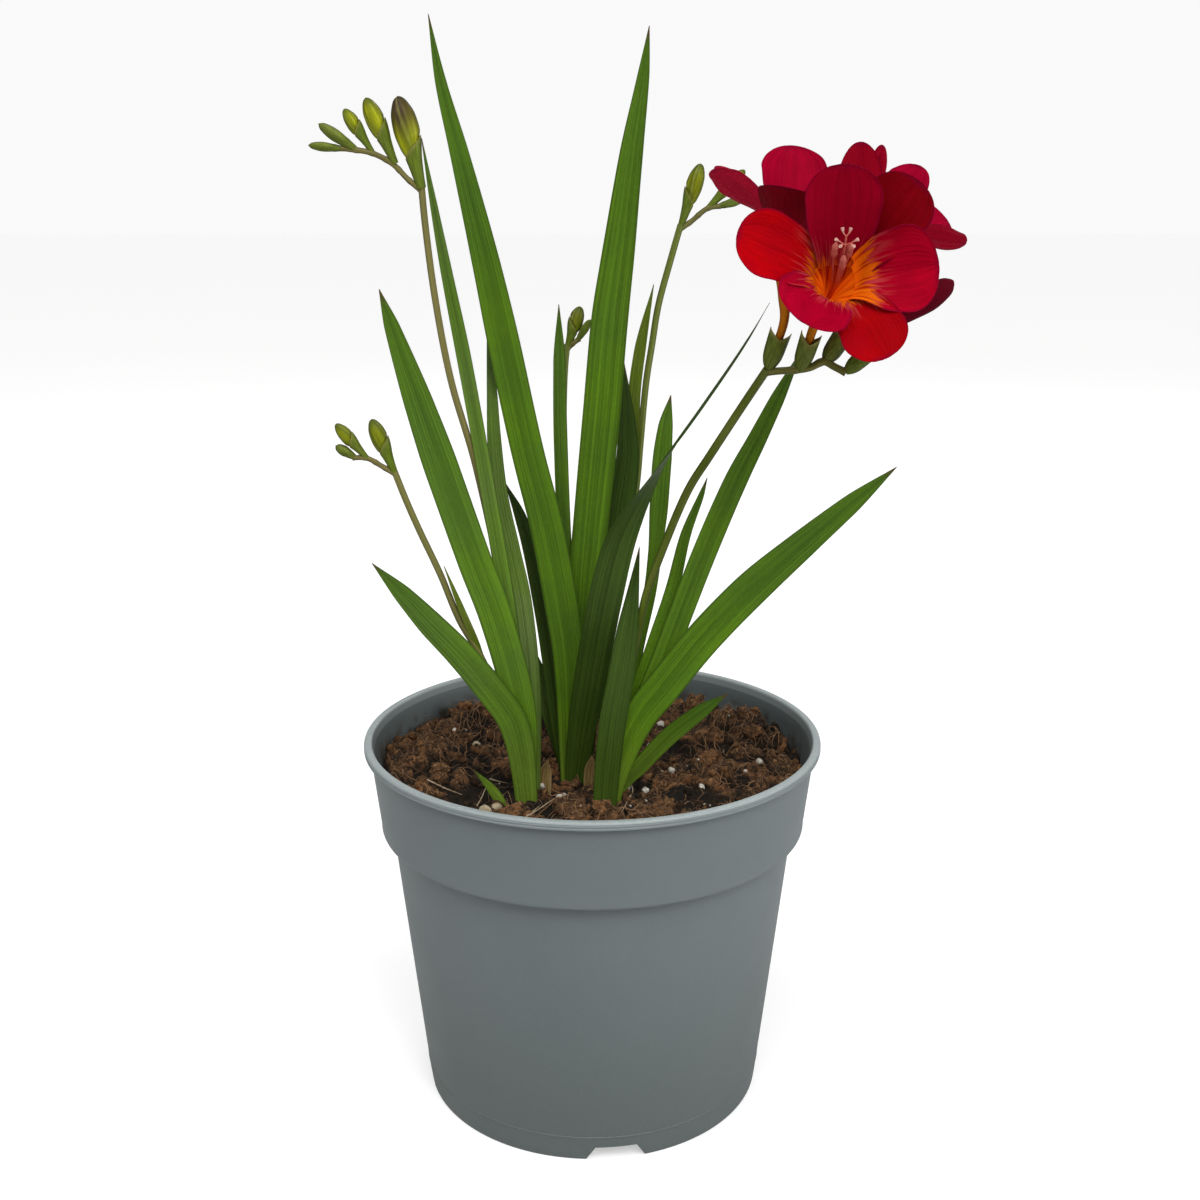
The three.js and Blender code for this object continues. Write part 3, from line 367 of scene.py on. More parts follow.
# Blade finish. Tone carries how light and how grey a leaf is, and marks how near a spot
# is to the soil and how dry it is.
def makeBladeMaterial(name, shades):
    blade = Finish(name, specular=0.1)
    light, grey = blade.pair("tone")
    foot, dry = blade.pair("marks")
    along = blade.pair("span")[1]
    lines = blade.fibres(38, 3.5, 0.022, 0.06)
    spots = blade.mottle(0.022, 0.0012)
    colour = blade.blend(light, shades["deep"], shades["bright"])
    colour = blade.coat(colour, grey, shades["grey"])
    colour = blade.coat(colour, spots["Patches"], shades["fresh"], 0.45)
    colour = blade.coat(colour, blade.fade(along, 0.5, 1, 0, 0.4), shades["high"])
    colour = blade.coat(colour, foot, shades["foot"], 0.55)
    streaks = ((lines["Lines"], 0.34), (lines["Broad Lines"], 0.3), (spots["Specks"], 0.1))
    colour = blade.shaded(colour, blade.total(0.63, *streaks))
    colour = blade.coat(colour, lines["Rib"], shades["rib"], 0.5)
    colour = blade.coat(colour, lines["Margin"], shades["margin"], 0.7)
    colour = blade.coat(colour, dry, shades["dry"])
    rough = blade.total(shades["rough"], (spots["Specks"], 0.12))
    relief = blade.calc("ADD", lines["Lines"], blade.times(lines["Rib"], -1.5))
    return blade.done(colour, rough, relief, 0.00012, 0.8)


bladeShades = {
    "deep": (0.026, 0.072, 0.002),
    "bright": (0.088, 0.198, 0.003),
    "grey": (0.150, 0.215, 0.062),
    "fresh": (0.104, 0.214, 0.003),
    "high": (0.048, 0.105, 0.012),
    "foot": (0.165, 0.250, 0.028),
    "rib": (0.030, 0.075, 0.003),
    "margin": (0.022, 0.048, 0.003),
    "dry": (0.110, 0.068, 0.030),
    "rough": 0.36,
}
darkBladeShades = {
    **bladeShades,
    "deep": (0.018, 0.040, 0.004),
    "grey": (0.100, 0.155, 0.036),
    "bright": (0.050, 0.098, 0.010),
    "fresh": (0.045, 0.085, 0.010),
    "high": (0.030, 0.055, 0.010),
    "foot": (0.060, 0.105, 0.012),
    "rib": (0.016, 0.034, 0.003),
}
bladeGreen = makeBladeMaterial("bladeGreen", bladeShades)
bladeDark = makeBladeMaterial("bladeDark", darkBladeShades)

# Leaves, as in the drawing: x, y, z and width from foot to tip. Light and grey set the
# colour, dry is how far down from its tip a leaf has turned brown, and turn how far it
# is turned about its own line, in degrees.
leafForm = {
    "columns": 15, "rowLength": 2.4, "fold": 0.55, "tipWidth": 0.25, "fullWidth": 10,
    "middle": 0.6, "edge": 0.16, "tipRun": 14, "footRise": 34, "wave": 0.3, "pleat": 0.07,
    "freeRise": 40, "turnStart": 30, "turnEnd": 60,
}
leaves = {
    "leaf_left_1": {
        "stations": [
            [-24, -34, footLevel, 6], [-23.6, -34, 128, 8], [-27.5, -34.3, 155, 10.6],
            [-36, -35.5, 169, 10.7], [-46, -37, 182.4, 10.1], [-55, -38, 192.7, 9.1],
            [-64.5, -39, 204, 6.2], [-74, -40, 214.7, 0.8]],
        "light": 0.4, "grey": 0.3, "dry": 3,
    },
    "leaf_left_2": {
        "stations": [
            [-24, -33, footLevel, 6], [-24, -33, 130, 8], [-25.4, -33, 160, 11.2], [-33, -33, 193, 11.5],
            [-40, -33, 213.5, 11.7], [-50.5, -33, 246, 11.6], [-57.6, -33, 268.3, 9.6],
            [-65.5, -33, 293.2, 4.9], [-69, -33, 304.5, 0.8]],
        "turn": 12, "light": 0.5, "grey": 0.2, "dry": 4,
    },
    "leaf_left_3": {
        "stations": [
            [-23.5, -32, footLevel, 6], [-23.5, -32, 130, 6.5], [-28.5, -31.2, 190, 5.6],
            [-35.8, -30, 241, 5], [-42.3, -28.8, 281.3, 4.9], [-47.7, -27.6, 310.7, 3.8],
            [-51.1, -27.2, 330.8, 2.4], [-54.4, -27, 351.5, 0.8]],
        "light": 0.5, "grey": 0.5, "dry": 4,
    },
    "leaf_left_4": {
        "stations": [
            [-22.5, -28.6, footLevel, 6], [-22.5, -28.6, 128, 7.5], [-22, -27.8, 165, 7.5],
            [-24.7, -27, 198, 7.2], [-28.3, -26, 216.6, 6.7], [-31.8, -25, 235.3, 6],
            [-33.3, -23, 253.7, 4.9], [-34.1, -18.6, 271.4, 3.5], [-35.4, -15, 295.8, 0.8]],
        "turn": -12, "light": 0.0, "grey": 0.9, "dry": 3,
    },
    "leaf_left_5": {
        "stations": [
            [-31.4, -37.2, 115, 3], [-31.4, -37.2, 124, 3.6], [-35, -37, 131, 3.6],
            [-42, -36.5, 139, 0.8]],
        "light": 0.25, "grey": 0.0, "dry": 2,
    },
    "leaf_middle_1": {
        "stations": [
            [-7.5, -17.5, footLevel, 6], [-8, -17.5, 130, 7.5], [-8.5, -18, 174, 11],
            [-11.3, -18.5, 196, 11.8], [-16, -19, 223, 11.6], [-22.1, -20, 249, 11.2],
            [-29.6, -22, 286.6, 10.8], [-34.9, -24, 313, 9.2], [-42.6, -26, 347.3, 6.1],
            [-47.8, -27, 368.7, 3.6], [-51, -28, 388.4, 0.8]],
        "turn": 10, "light": 0.5, "grey": 0.1, "dry": 4,
    },
    "leaf_middle_2": {
        "stations": [
            [-6.5, -16.5, footLevel, 6], [-6, -16.5, 130, 8], [-5, -16, 157, 11], [-3, -15.6, 195, 12],
            [0.3, -15.2, 231, 12.6], [3.3, -14.7, 262, 13], [6, -13.8, 293, 12.6], [9, -13, 316, 11],
            [13.3, -12, 348.6, 7.7], [17, -10.6, 372, 4], [18.8, -10, 387, 0.8]],
        "turn": -12, "light": 0.55, "grey": 0.1, "dry": 5,
    },
    "leaf_middle_3": {
        "stations": [
            [-7, -15.5, footLevel, 5], [-7, -15.5, 130, 5], [-7.6, -14, 172, 5.2], [-9.6, -13, 210, 5],
            [-11, -12, 255, 4.8], [-11.2, -10.6, 279.3, 4.2], [-11.3, -9, 298, 0.8]],
        "light": 0.4, "grey": 0.2, "dry": 3,
    },
    "leaf_middle_4": {
        "stations": [
            [-8, -14.5, footLevel, 5], [-9.2, -14.5, 128, 5.2], [-12.4, -12.8, 149, 6.2],
            [-18, -9.8, 190, 6], [-25, -7.5, 222, 4.5], [-31, -6, 236, 0.8]],
        "dark": True, "light": 0.5, "grey": 0.1, "dry": 3,
    },
    "leaf_middle_5": {
        "stations": [
            [-8.5, -9.7, footLevel, 5], [-9, -9.7, 126, 6], [-13, -8.2, 143, 7.4], [-18, -6, 158, 7.4],
            [-24, -4, 172, 6], [-35, -1, 195, 0.8]],
        "dark": True, "light": 0.6, "grey": 0.5, "dry": 3,
    },
    "leaf_middle_6": {
        "stations": [
            [-4.5, -13.5, footLevel, 5], [-3.5, -13.5, 127, 5.6], [-0.5, -12.8, 160, 8],
            [2.9, -12.3, 194, 8.6], [7.8, -11.3, 216, 8.9], [10.6, -10.5, 232, 9.4], [12.5, -9.5, 246, 8],
            [12.2, -8.5, 258, 6], [11.1, -6.5, 278.2, 0.8]],
        "dark": True, "light": 0.4, "grey": 0.0, "dry": 3,
    },
    "leaf_middle_7": {
        "stations": [
            [-6.5, -18.5, footLevel, 6], [-6, -18.7, 130, 8], [-0.7, -27, 169, 11.8],
            [4.4, -37, 201, 11.6], [8.7, -40, 220, 11], [12.6, -42, 230, 10.4], [18.1, -44, 240.4, 9.4],
            [23.5, -45.5, 250, 8.4], [35.4, -48.2, 268, 6.6], [49.1, -50.8, 289.4, 3.6],
            [55.6, -52, 301.3, 0.8]],
        "turn": 85, "turnFrom": 205, "turnTo": 262, "dark": True, "light": 0.35, "grey": 0.1, "dry": 5,
    },
    "leaf_right_1": {
        "stations": [
            [5, -31.2, footLevel, 5], [5, -31.2, 127, 5], [10, -29.6, 150, 4], [16.5, -28.2, 184, 4.2],
            [20.1, -27.5, 202, 4.4], [21.7, -27, 216, 4.8], [22.8, -26, 230, 6.3],
            [23.7, -24.8, 245, 6.6], [25, -23, 258.6, 5], [26.8, -20, 268.5, 0.8]],
        "light": 0.6, "grey": 0.1, "dry": 3,
    },
    "leaf_right_3": {
        "stations": [
            [5, -35.5, footLevel, 5], [5, -35.5, 128, 6], [12, -35.3, 155, 5.8], [21.7, -35, 186, 5],
            [27.3, -34.6, 204, 4.7], [31.8, -33, 223, 3.6], [36.9, -31, 236, 2], [38.9, -30, 241.8, 0.8]],
        "light": 0.6, "grey": 0.1, "dry": 3,
    },
    "leaf_right_4": {
        "stations": [
            [5, -36.5, footLevel, 6], [5, -36.5, 128, 8], [10.5, -36.5, 145, 8.3],
            [21.8, -36.6, 172, 8.3], [30.1, -36.9, 195.6, 8.2], [38, -37.7, 218, 8.2],
            [47.8, -38.4, 242.5, 7.6], [54.5, -38.8, 256.5, 6.2], [60.6, -39.3, 269.7, 4.7],
            [68.2, -40, 286, 0.8]],
        "turn": -8, "light": 0.5, "grey": 0.15, "dry": 4,
    },
    "leaf_right_5": {
        "stations": [
            [6, -37.5, footLevel, 6], [6, -37.5, 128, 8], [11, -37.6, 147, 10.5], [17, -38, 160, 11.7],
            [23.5, -38.8, 169, 12.3], [37, -41, 187.6, 12.7], [53, -44, 206.3, 12.7],
            [69, -47, 222.2, 10.4], [85, -49, 237, 6.8], [98.6, -50, 249, 0.8]],
        "turn": 10, "light": 0.5, "grey": 0.1, "dry": 4,
    },
    "leaf_right_6": {
        "stations": [
            [7, -30.2, footLevel, 4.5], [8, -30.2, 127, 5.5], [17.2, -28.5, 137.4, 6.2],
            [27.9, -26, 147.9, 6.6], [38.6, -24, 155.9, 5.6], [48.4, -22, 162, 0.8]],
        "light": 0.45, "grey": 0.1, "dry": 3,
    },
    "leaf_right_7": {
        "stations": [
            [4.5, -38.5, footLevel, 6], [4.5, -38.6, 129, 8.5], [7, -39.2, 157, 9.4], [10, -38.6, 175, 9],
            [12, -37, 190, 7.4], [14, -35.6, 204, 4], [16, -34.9, 219, 0.8]],
        "dark": True, "light": 0.6, "grey": 0.1, "dry": 3,
    },
}


# Places across a sheet from -1 to 1, closer together near its margins
def acrossPlaces(columns, rounded):
    bunched = np.sin(np.linspace(-np.pi / 2, np.pi / 2, columns))
    return bunched * rounded + np.linspace(-1, 1, columns) * (1 - rounded)


# A blade's rows of points. It faces the front, and turns about its own line higher up.
def bladeRows(leaf, columns, rowLength, fold):
    stations = np.array(leaf["stations"], float)
    stations[-1, 3] = leafForm["tipWidth"]
    length = np.linalg.norm(np.diff(stations[:, :3], axis=0), axis=1).sum()
    shares = evenly(max(16, int(length / rowLength)) + 1)
    centre = curveAt(stations[:, :3], shares)
    along = directionAt(stations[:, :3], shares)
    half = np.maximum(curveAt(stations[:, 3:], shares)[:, 0], leafForm["tipWidth"]) / 2
    turnTo = leaf.get("turnTo", max(stations[-1, 2], soilLevel + leafForm["turnEnd"]))
    turnFrom = leaf.get("turnFrom", soilLevel + leafForm["turnStart"])
    turned = np.radians(leaf.get("turn", 0) * ease(turnFrom, turnTo, centre[:, 2]))[:, None]
    front = np.array([0.0, -1.0, 0.0])
    ahead = along * (along @ front)[:, None]
    facing = front * np.cos(turned) + np.cross(along, front) * np.sin(turned) + ahead * (1 - np.cos(turned))
    across = unit(np.cross(along, facing))
    normal = np.cross(across, along)
    free = ease(soilLevel, soilLevel + leafForm["freeRise"], centre[:, 2])
    place = acrossPlaces(columns, 0.35)
    inward = -fold * free * np.minimum(half / (leafForm["fullWidth"] / 2), 1)
    bend = (1 - np.abs(place) ** 1.4)[None] * inward[:, None]
    aside = across[:, None] * (half[:, None] * place)[..., None]
    grid = centre[:, None] + aside + normal[:, None] * bend[..., None]
    run = np.concatenate([[0], np.cumsum(np.linalg.norm(np.diff(centre, axis=0), axis=1))])
    return grid, normal, place, half, run, free


def bladeData(place, run, tone, marks=(0, 0)):
    return skinData((place[None] + 1) / 2, (run / run[-1])[:, None], tone, marks)


def makeLeaf(name, leaf, form):
    grid, normal, place, half, run, free = bladeRows(leaf, form["columns"], form["rowLength"], form["fold"])
    phase = dice.uniform(0, 2 * np.pi, 3)
    room = (free * np.minimum(half / (form["fullWidth"] / 2), 1))[:, None]
    edgeWave = (np.sin(run / 17 + phase[0]) * 0.6 + np.sin(run / 8.5 + phase[1]) * 0.3)[:, None]
    sway = form["wave"] * (room * edgeWave) * np.sign(place) * np.abs(place) ** 2
    pleats = form["pleat"] * room * np.cos(place * 9 + 0.4 * phase[2]) * (1 - place ** 2)
    grid = grid + normal[:, None] * (sway + pleats)[..., None]
    taper = np.clip((run[-1] - run) / form["tipRun"], 0.3, 1)[:, None]
    thickness = mix(form["middle"], form["edge"], np.abs(place) ** 1.5) * taper
    foot = 1 - ease(soilLevel, soilLevel + form["footRise"], grid[:, :, 2])
    ragged = run[-1] - run[:, None] + 1.2 * np.sin(place * 7 + phase[0])
    dry = 1 - ease(0.3 * leaf["dry"], 1.3 * leaf["dry"], ragged)
    pile = SkinPile()
    pile.addSheet(grid, thickness, bladeData(place, run, (leaf["light"], leaf["grey"]), (foot, dry)))
    material, slot = (bladeDark, "dark_leaf") if leaf.get("dark") else (bladeGreen, "leaf")
    pile.buildFor(name, "Blade", material)


for name, leaf in leaves.items():
    makeLeaf(name, leaf, leafForm)
print("leaves made")


# Brown papery scales at the foot of two shoots
def makeSheathMaterial():
    paper = Finish("driedSheath")
    lines = paper.fibres(16, 1.5, 0.02, 0.12)
    spots = paper.mottle(0.006, 0.0006)
    colour = paper.blend(lines["Lines"], (0.210, 0.120, 0.035), (0.380, 0.260, 0.085))
    colour = paper.coat(colour, spots["Patches"], (0.150, 0.110, 0.030), 0.45)
    colour = paper.coat(colour, lines["Margin"], (0.36, 0.26, 0.13), 0.5)
    return paper.done(colour, paper.spread(spots["Specks"], 0.6, 0.85), lines["Lines"], 0.0003)


driedSheath = makeSheathMaterial()
sheathForm = {
    "columns": 13, "rowLength": 0.8, "fold": 0.3, "thickness": 0.3,
    "crinkle": 0.22, "ripple": 0.16, "curl": 0.5, "curlFrom": 120, "curlTo": 138,
}
sheaths = {
    "sheath_left": [
        [-17.5, -25.5, 117, 4], [-17.5, -25.5, 127, 5], [-17, -25.4, 133, 4.2], [-16.2, -25.2, 138, 1]],
    "sheath_middle": [
        [-0.7, -21.6, 117, 4], [-0.7, -21.6, 127, 5], [-0.6, -21.4, 133, 4.2], [-0.2, -21.2, 138, 1]],
}


def makeSheath(name, stations, form):
    blade = {"stations": stations}
    grid, normal, place, _, run, _ = bladeRows(blade, form["columns"], form["rowLength"], form["fold"])
    crinkle = form["crinkle"] * np.sin(run / 1.9)[:, None] * place ** 2
    crinkle = crinkle + form["ripple"] * np.cos(place * 11)
    curl = form["curl"] * place ** 2 * ease(form["curlFrom"], form["curlTo"], grid[:, :, 2])
    grid = grid - normal[:, None] * (crinkle + curl)[..., None]
    pile = SkinPile()
    pile.addSheet(grid, form["thickness"], bladeData(place, run, (0.3, 0)))
    pile.buildFor(name, "Scale", driedSheath)


for name, stations in sheaths.items():
    makeSheath(name, stations, sheathForm)


# Stem finish. Tone carries how green and how dark a part is. Marks carry how papery and
# how warm it is.
def makeStemMaterial(name, shades):
    stem = Finish(name, specular=0.16)
    green, dark = stem.pair("tone")
    paper, warm = stem.pair("marks")
    lines = stem.fibres(14, 3)
    spots = stem.mottle(0.014, 0.0007)
    colour = stem.blend(green, shades["straw"], shades["green"])
    colour = stem.coat(colour, dark, shades["dark"])
    colour = stem.coat(colour, warm, shades["warm"])
    colour = stem.coat(colour, spots["Patches"], shades["patch"], 0.3)
    streaks = stem.spread(lines["Lines"], 0.85, 1.3, "LINEAR")
    # Painted shade: the stem darkens towards its edges, where it turns away from view
    colour = stem.shaded(colour, stem.times(streaks, stem.fade(stem.facing(), 0.1, 0.85, 1.1, 0.45)))
    colour = stem.coat(colour, paper, shades["paper"])
    return stem.done(colour, stem.spread(spots["Specks"], 0.38, 0.55), lines["Lines"], 0.0001, 0.7)


stemShades = {
    "straw": (0.170, 0.142, 0.050),
    "green": (0.100, 0.155, 0.006),
    "dark": (0.054, 0.074, 0.004),
    "warm": (0.130, 0.070, 0.034),
    "patch": (0.130, 0.130, 0.034),
    "paper": (0.260, 0.230, 0.070),
}
greenStemShades = {**stemShades, "straw": (0.150, 0.145, 0.055), "patch": (0.105, 0.130, 0.030)}
stemStraw = makeStemMaterial("stemStraw", stemShades)
stemGreen = makeStemMaterial("stemGreen", greenStemShades)


# Bud finish. Tone carries how yellow and how blushed a bud is. Marks carry its seams, and
# how near the middle of a petal a spot is.
def makeBudMaterial():
    bud = Finish("budSkin", specular=0.12)
    yellow, blush = bud.pair("tone")
    seam, middle = bud.pair("marks")
    along = bud.pair("span")[1]
    lines = bud.fibres(26, 2)
    spots = bud.mottle(0.006, 0.0005)
    bright = bud.times(yellow, bud.fade(middle, 0.2, 0.95, 0.45, 1), bud.fade(along, 0.78, 1, 1, 0.25))
    blushed = bud.times(blush, bud.fade(along, 0.46, 0.82), bud.fade(middle, 0, 0.9, 1, 0.8))
    colour = bud.blend(bright, (0.040, 0.072, 0.003), (0.400, 0.420, 0.006))
    colour = bud.coat(colour, blushed, (0.040, 0.010, 0.016))
    streaks = bud.spread(lines["Lines"], 0.82, 1.25, "LINEAR")
    # Painted shade: the bud darkens towards its edges, where it turns away from view
    colour = bud.shaded(colour, bud.times(streaks, bud.fade(bud.facing(), 0.1, 0.85, 1.1, 0.35)))
    colour = bud.coat(colour, seam, (0.42, 0.42, 0.08), 0.4)
    colour = bud.coat(colour, spots["Patches"], (0.06, 0.07, 0.02), 0.2)
    return bud.done(colour, bud.spread(spots["Specks"], 0.3, 0.46), lines["Lines"], 0.00012, 0.7)


budSkin = makeBudMaterial()

# Budded stems, as in the drawing. Each cup holds its bud on one line, and its mouth lies
# between two shares of that line. Small buds have a base, a tip and a radius.
stemForm = {"radius": 1.2, "rachisRadius": 0.9, "cupWall": 0.55, "cupDepth": 0.55}
budColumns = ("base", "tip", "radius", "mouth", "facing", "turn", "yellow", "blush")
sprays = {
    "stem_left_1": {
        "stem": [
            [-22.6, -30.3, footLevel], [-22.8, -30.3, 130], [-29.5, -29, 192], [-39.5, -27.6, 246],
            [-47, -27, 274], [-51.6, -26.5, 301], [-54.3, -26, 326], [-55, -26, 336.6]],
        "rachis": [
            [-54.9, -26, 335], [-59.5, -26, 339], [-64, -26, 343.5], [-70.6, -26, 346.9], [-77, -26, 348],
            [-80.5, -26, 348.4]],
        "buds": {
            "bud_left_1": ([-55, -26, 336], [-61.7, -26, 364.3], 4.2, (0.36, 0.5), -1, 0.0, 0.8, 1.0),
            "bud_left_2": ([-63.2, -26, 343.6], [-71.8, -27, 363.7], 3.1, (0.42, 0.6), -1, 0.42, 0.8, 0.12),
            "bud_left_3": ([-70.4, -26, 347.2], [-79.1, -25.2, 360.4], 2.3, (0.46, 0.62), -1, 0.2, 0.6, 0.0),
        },
        "small": [
            ([-75.6, -26, 347.9], [-87.3, -26.3, 355.9], 2.1), ([-79.6, -26, 348.2], [-91, -25.8, 349.3],
            1.6)],
        "green": 0.1,
    },
    "stem_left_2": {
        "stem": [
            [-25.6, -30.3, footLevel], [-26, -30.3, 130], [-34, -30.5, 166], [-39, -30.5, 179],
            [-46, -30.5, 192], [-52, -30.5, 208], [-59, -30, 224], [-63, -30, 234], [-66.6, -30, 244]],
        "rachis": [[-66.2, -30, 243], [-71, -30, 246], [-75.7, -30, 248.6], [-80.5, -30, 248.8]],
        "buds": {
            "bud_left_4": ([-66.4, -30, 243.4], [-73.7, -30, 261.8], 2.9, (0.42, 0.6), -1, 0.45, 0.35, 0.15),
            "bud_left_5": ([-75.3, -30, 248.2], [-85.6, -30.8, 260.3], 2.3, (0.46, 0.62), -1, 0.6, 0.4, 0.1),
        },
        "small": [([-79.6, -30, 248.8], [-86.2, -29.6, 252.8], 1.9)],
        "stemLeaf": [
            [-37.5, -30.7, 174, 1.6], [-40.5, -31.5, 184, 2.6], [-45.2, -32.6, 197, 2.2],
            [-50.5, -33.4, 212, 0.7]],
        "green": 0.2,
    },
    "stem_middle_1": {
        "stem": [
            [-8.5, -11.6, footLevel], [-8.5, -11.4, 126], [-9, -7.5, 208], [-10, -5, 258],
            [-9.4, -4, 276], [-8.6, -4, 284]],
        "rachis": [[-8.8, -4, 282], [-7, -4.2, 284], [-4.4, -4.8, 286]],
        "buds": {
            "bud_middle_1": ([-8.6, -4, 283], [-3.9, -4.6, 297], 2.6, (0.4, 0.66), 1, 0.3, 0.3, 0.3),
        },
        "small": [([-5, -4.6, 285.4], [-0.4, -7.6, 292.8], 1.5)],
        "green": 0.5, "slot": "green_stem",
    },
    "stem_middle_2": {
        "stem": [
            [-5.1, -11.6, footLevel], [-5, -11.2, 126], [5, -8.4, 171], [12, -6.4, 208], [16, -5, 236],
            [17, -4, 248], [19, -3, 271], [21, -2, 284], [23, -2, 297], [27, -1, 312], [30.5, 0, 324.2]],
        "rachis": [[30, 0, 322.4], [34, 0, 325.2], [39.6, 0, 329.6], [44, 0, 330.4]],
        "buds": {
            "bud_middle_2": ([30.5, 0, 323.6], [37.1, -0.8, 344.3], 2.9, (0.38, 0.56), 1, 0.1, 0.45, 0.15),
            "bud_middle_3": ([39.3, 0, 329.3], [52.2, 1, 342.2], 2.3, (0.46, 0.62), 1, 0.5, 0.4, 0.0),
        },
        "small": [([43, 0, 330.2], [52, -0.4, 332.6], 1.6)],
        "stemLeaf": [
            [16.4, -4.6, 240, 2], [14.6, -5.6, 262, 4.4], [16.6, -6.2, 282, 4], [21.2, -6, 304.5, 0.7]],
        "green": 0.6, "slot": "green_stem",
    },
}
bloomStem = {
    "stem": [
        [5, -33.3, footLevel], [5, -33.3, 130], [10, -33, 160], [15.4, -32.7, 186], [18.4, -34.6, 202],
        [22.6, -38.6, 216], [31.6, -46, 241], [38, -51, 253], [48.6, -57, 271.6], [54.4, -60.6, 281.6]],
    "rachis": [
        [53.6, -60.2, 280.6], [58, -61.4, 281.2], [63.6, -62, 281.6], [67.6, -62.4, 282.4],
        [71.6, -62.6, 284.2], [75, -63.4, 282.6], [78.4, -64, 281]],
    "radius": 1.4,
    "rachisRadius": 1.15,
    "cups": [
        {"base": [54.6, -60.7, 281.4], "top": [58, -59.2, 291.6], "mouthRadius": 3.2, "rise": 2},
        {"base": [64.2, -62, 281], "top": [66.9, -63.6, 291.2], "mouthRadius": 3, "rise": 2},
        {"base": [72, -62.5, 284], "top": [77.2, -58.6, 290.8], "mouthRadius": 3, "rise": 1.6},
        {"base": [78.2, -64, 281], "top": [84.2, -64, 286.4], "mouthRadius": 2.6, "rise": 1.6},
    ],
}


# A frame whose up runs from base to top, with its right along the spray
def uprightFrame(base, top):
    base, top = np.array(base, float), np.array(top, float)
    length = np.linalg.norm(top - base)
    up = (top - base) / length
    right = unit(np.cross([0, -1, 0], up))
    return base, up, right, np.cross(up, right), length


def addRings(pile, upright, angle, radius, height, data):
    base, up, right, back, _ = upright
    pile.addLoft(base + spokes(right, back, angle) * radius[..., None] + up * height[..., None], data)


# Both bracts of a cup span their own numbers once round it
def bractSpan(sides):
    return evenly(sides + 1)[None] * 2 % 1.0001


# Two pointed bracts that hold the foot of a flower, with thin dry margins
def addCup(pile, cup, tone):
    upright = uprightFrame(cup["base"], cup["top"])
    mouth = cup["mouthRadius"]
    angle = turns(32)
    fromTip = np.abs((angle + np.pi / 2) % np.pi - np.pi / 2) / (np.pi / 2)
    point = (1 - 1.7 * fromTip ** 0.85)[None]
    profile = [[0, 0.9], [0.2, 0.72 * mouth], [0.45, 0.92 * mouth], [0.8, 0.98 * mouth], [1, mouth]]
    outer = curveAt(profile, evenly(14))
    inner = outer[:4:-1]
    inner = inner - np.stack([0 * inner[:, 0], np.linspace(0.22, stemForm["cupWall"], len(inner))], axis=1)
    share, radius = np.concatenate([outer, inner]).T[..., None]
    lift = ease(0.35, 1, share) * cup["rise"] * point
    overlap = 0.1 * np.cos(2 * angle) * ease(0.1, 0.6, share)
    keel = 0.12 * np.exp(-(fromTip / 0.14) ** 2) * ease(0.05, 0.4, share)
    paper = ease(0.84, 1, share) * (0.55 + 0.45 * closeRing(point))
    data = skinData(bractSpan(len(angle)), share, tone, (paper, 0))
    addRings(pile, upright, angle, radius + overlap + keel + 0.05 * lift, share * upright[4] + lift, data)


# Shut buds, by how many petals show, how far each stands over the next, and how much of
# the seams and of the petals' middles is coloured
budForms = {
    "cupped": {"lobes": 3, "wrap": 0.05, "shown": (1, 1), "rows": 40, "sides": 48},
    "small": {"lobes": 2, "wrap": 0.16, "shown": (0.5, 0), "rows": 20, "sides": 24},
    "bloom": {"lobes": 3, "wrap": 0.07, "shown": (0, 0), "rows": 34, "sides": 48},
}


# A shut bud of petals that wrap over each other, by the radius and share of each corner
def addBudRings(pile, form, upright, angle, radius, share, turn, tone):
    lobe = ((angle + 0.9 * share) * form["lobes"] / (2 * np.pi) + turn) % 1
    step = form["wrap"] * (lobe - 0.5) * ease(0.05, 0.4, share)
    seam = np.exp(-((lobe - 0.03) / 0.045) ** 2) + np.exp(-((lobe - 1) / 0.03) ** 2)
    shown = form["shown"]
    marks = (shown[0] * closeRing(seam * ease(0.15, 0.5, share)), shown[1] * closeRing(np.sin(np.pi * lobe)))
    data = skinData(evenly(len(angle) + 1)[None], closeRing(share), tone, marks)
    addRings(pile, upright, angle, np.maximum(radius, 0.03) * (1 + step), share * upright[4], data)


def addBud(pile, form, profile, base, tip, tone):
    upright, angle = uprightFrame(base, tip), turns(form["sides"])
    shape = curveAt(profile, evenly(form["rows"]))
    share = shape[:, 1:] + 0 * angle
    addBudRings(pile, form, upright, angle, shape[:, :1], share, 0, tone)


# A cupped bud and its cup share one spindle, from the cup's base to the bud's tip. Its
# outline lists shares of the radius with shares of the length.
spindle = curveAt([
    [0.36, 0], [0.46, 0.15], [0.62, 0.32], [0.84, 0.46], [1, 0.62], [0.93, 0.78], [0.6, 0.92], [0.3, 0.98],
    [0.01, 1]], evenly(160))


# The cup's mouth slants up to the side it faces. Steps run from 0 at the base through 1 at
# the mouth to 2 at the tip, and insets are measured in from the spindle.
def spindleRings(bud, angle, steps, inset):
    high = 0.5 + 0.5 * bud["facing"] * np.cos(angle)
    edge = mix(*bud["mouth"], high) + 0.05 * high ** 12 - 0.03 * (1 - high) ** 3
    steps = steps[:, None]
    share = np.where(steps < 1, steps * edge, mix(edge, 1, steps - 1))
    reach = bud["radius"] * np.interp(share, spindle[:, 1], spindle[:, 0])
    return np.maximum(reach - inset[:, None], 0.03), share


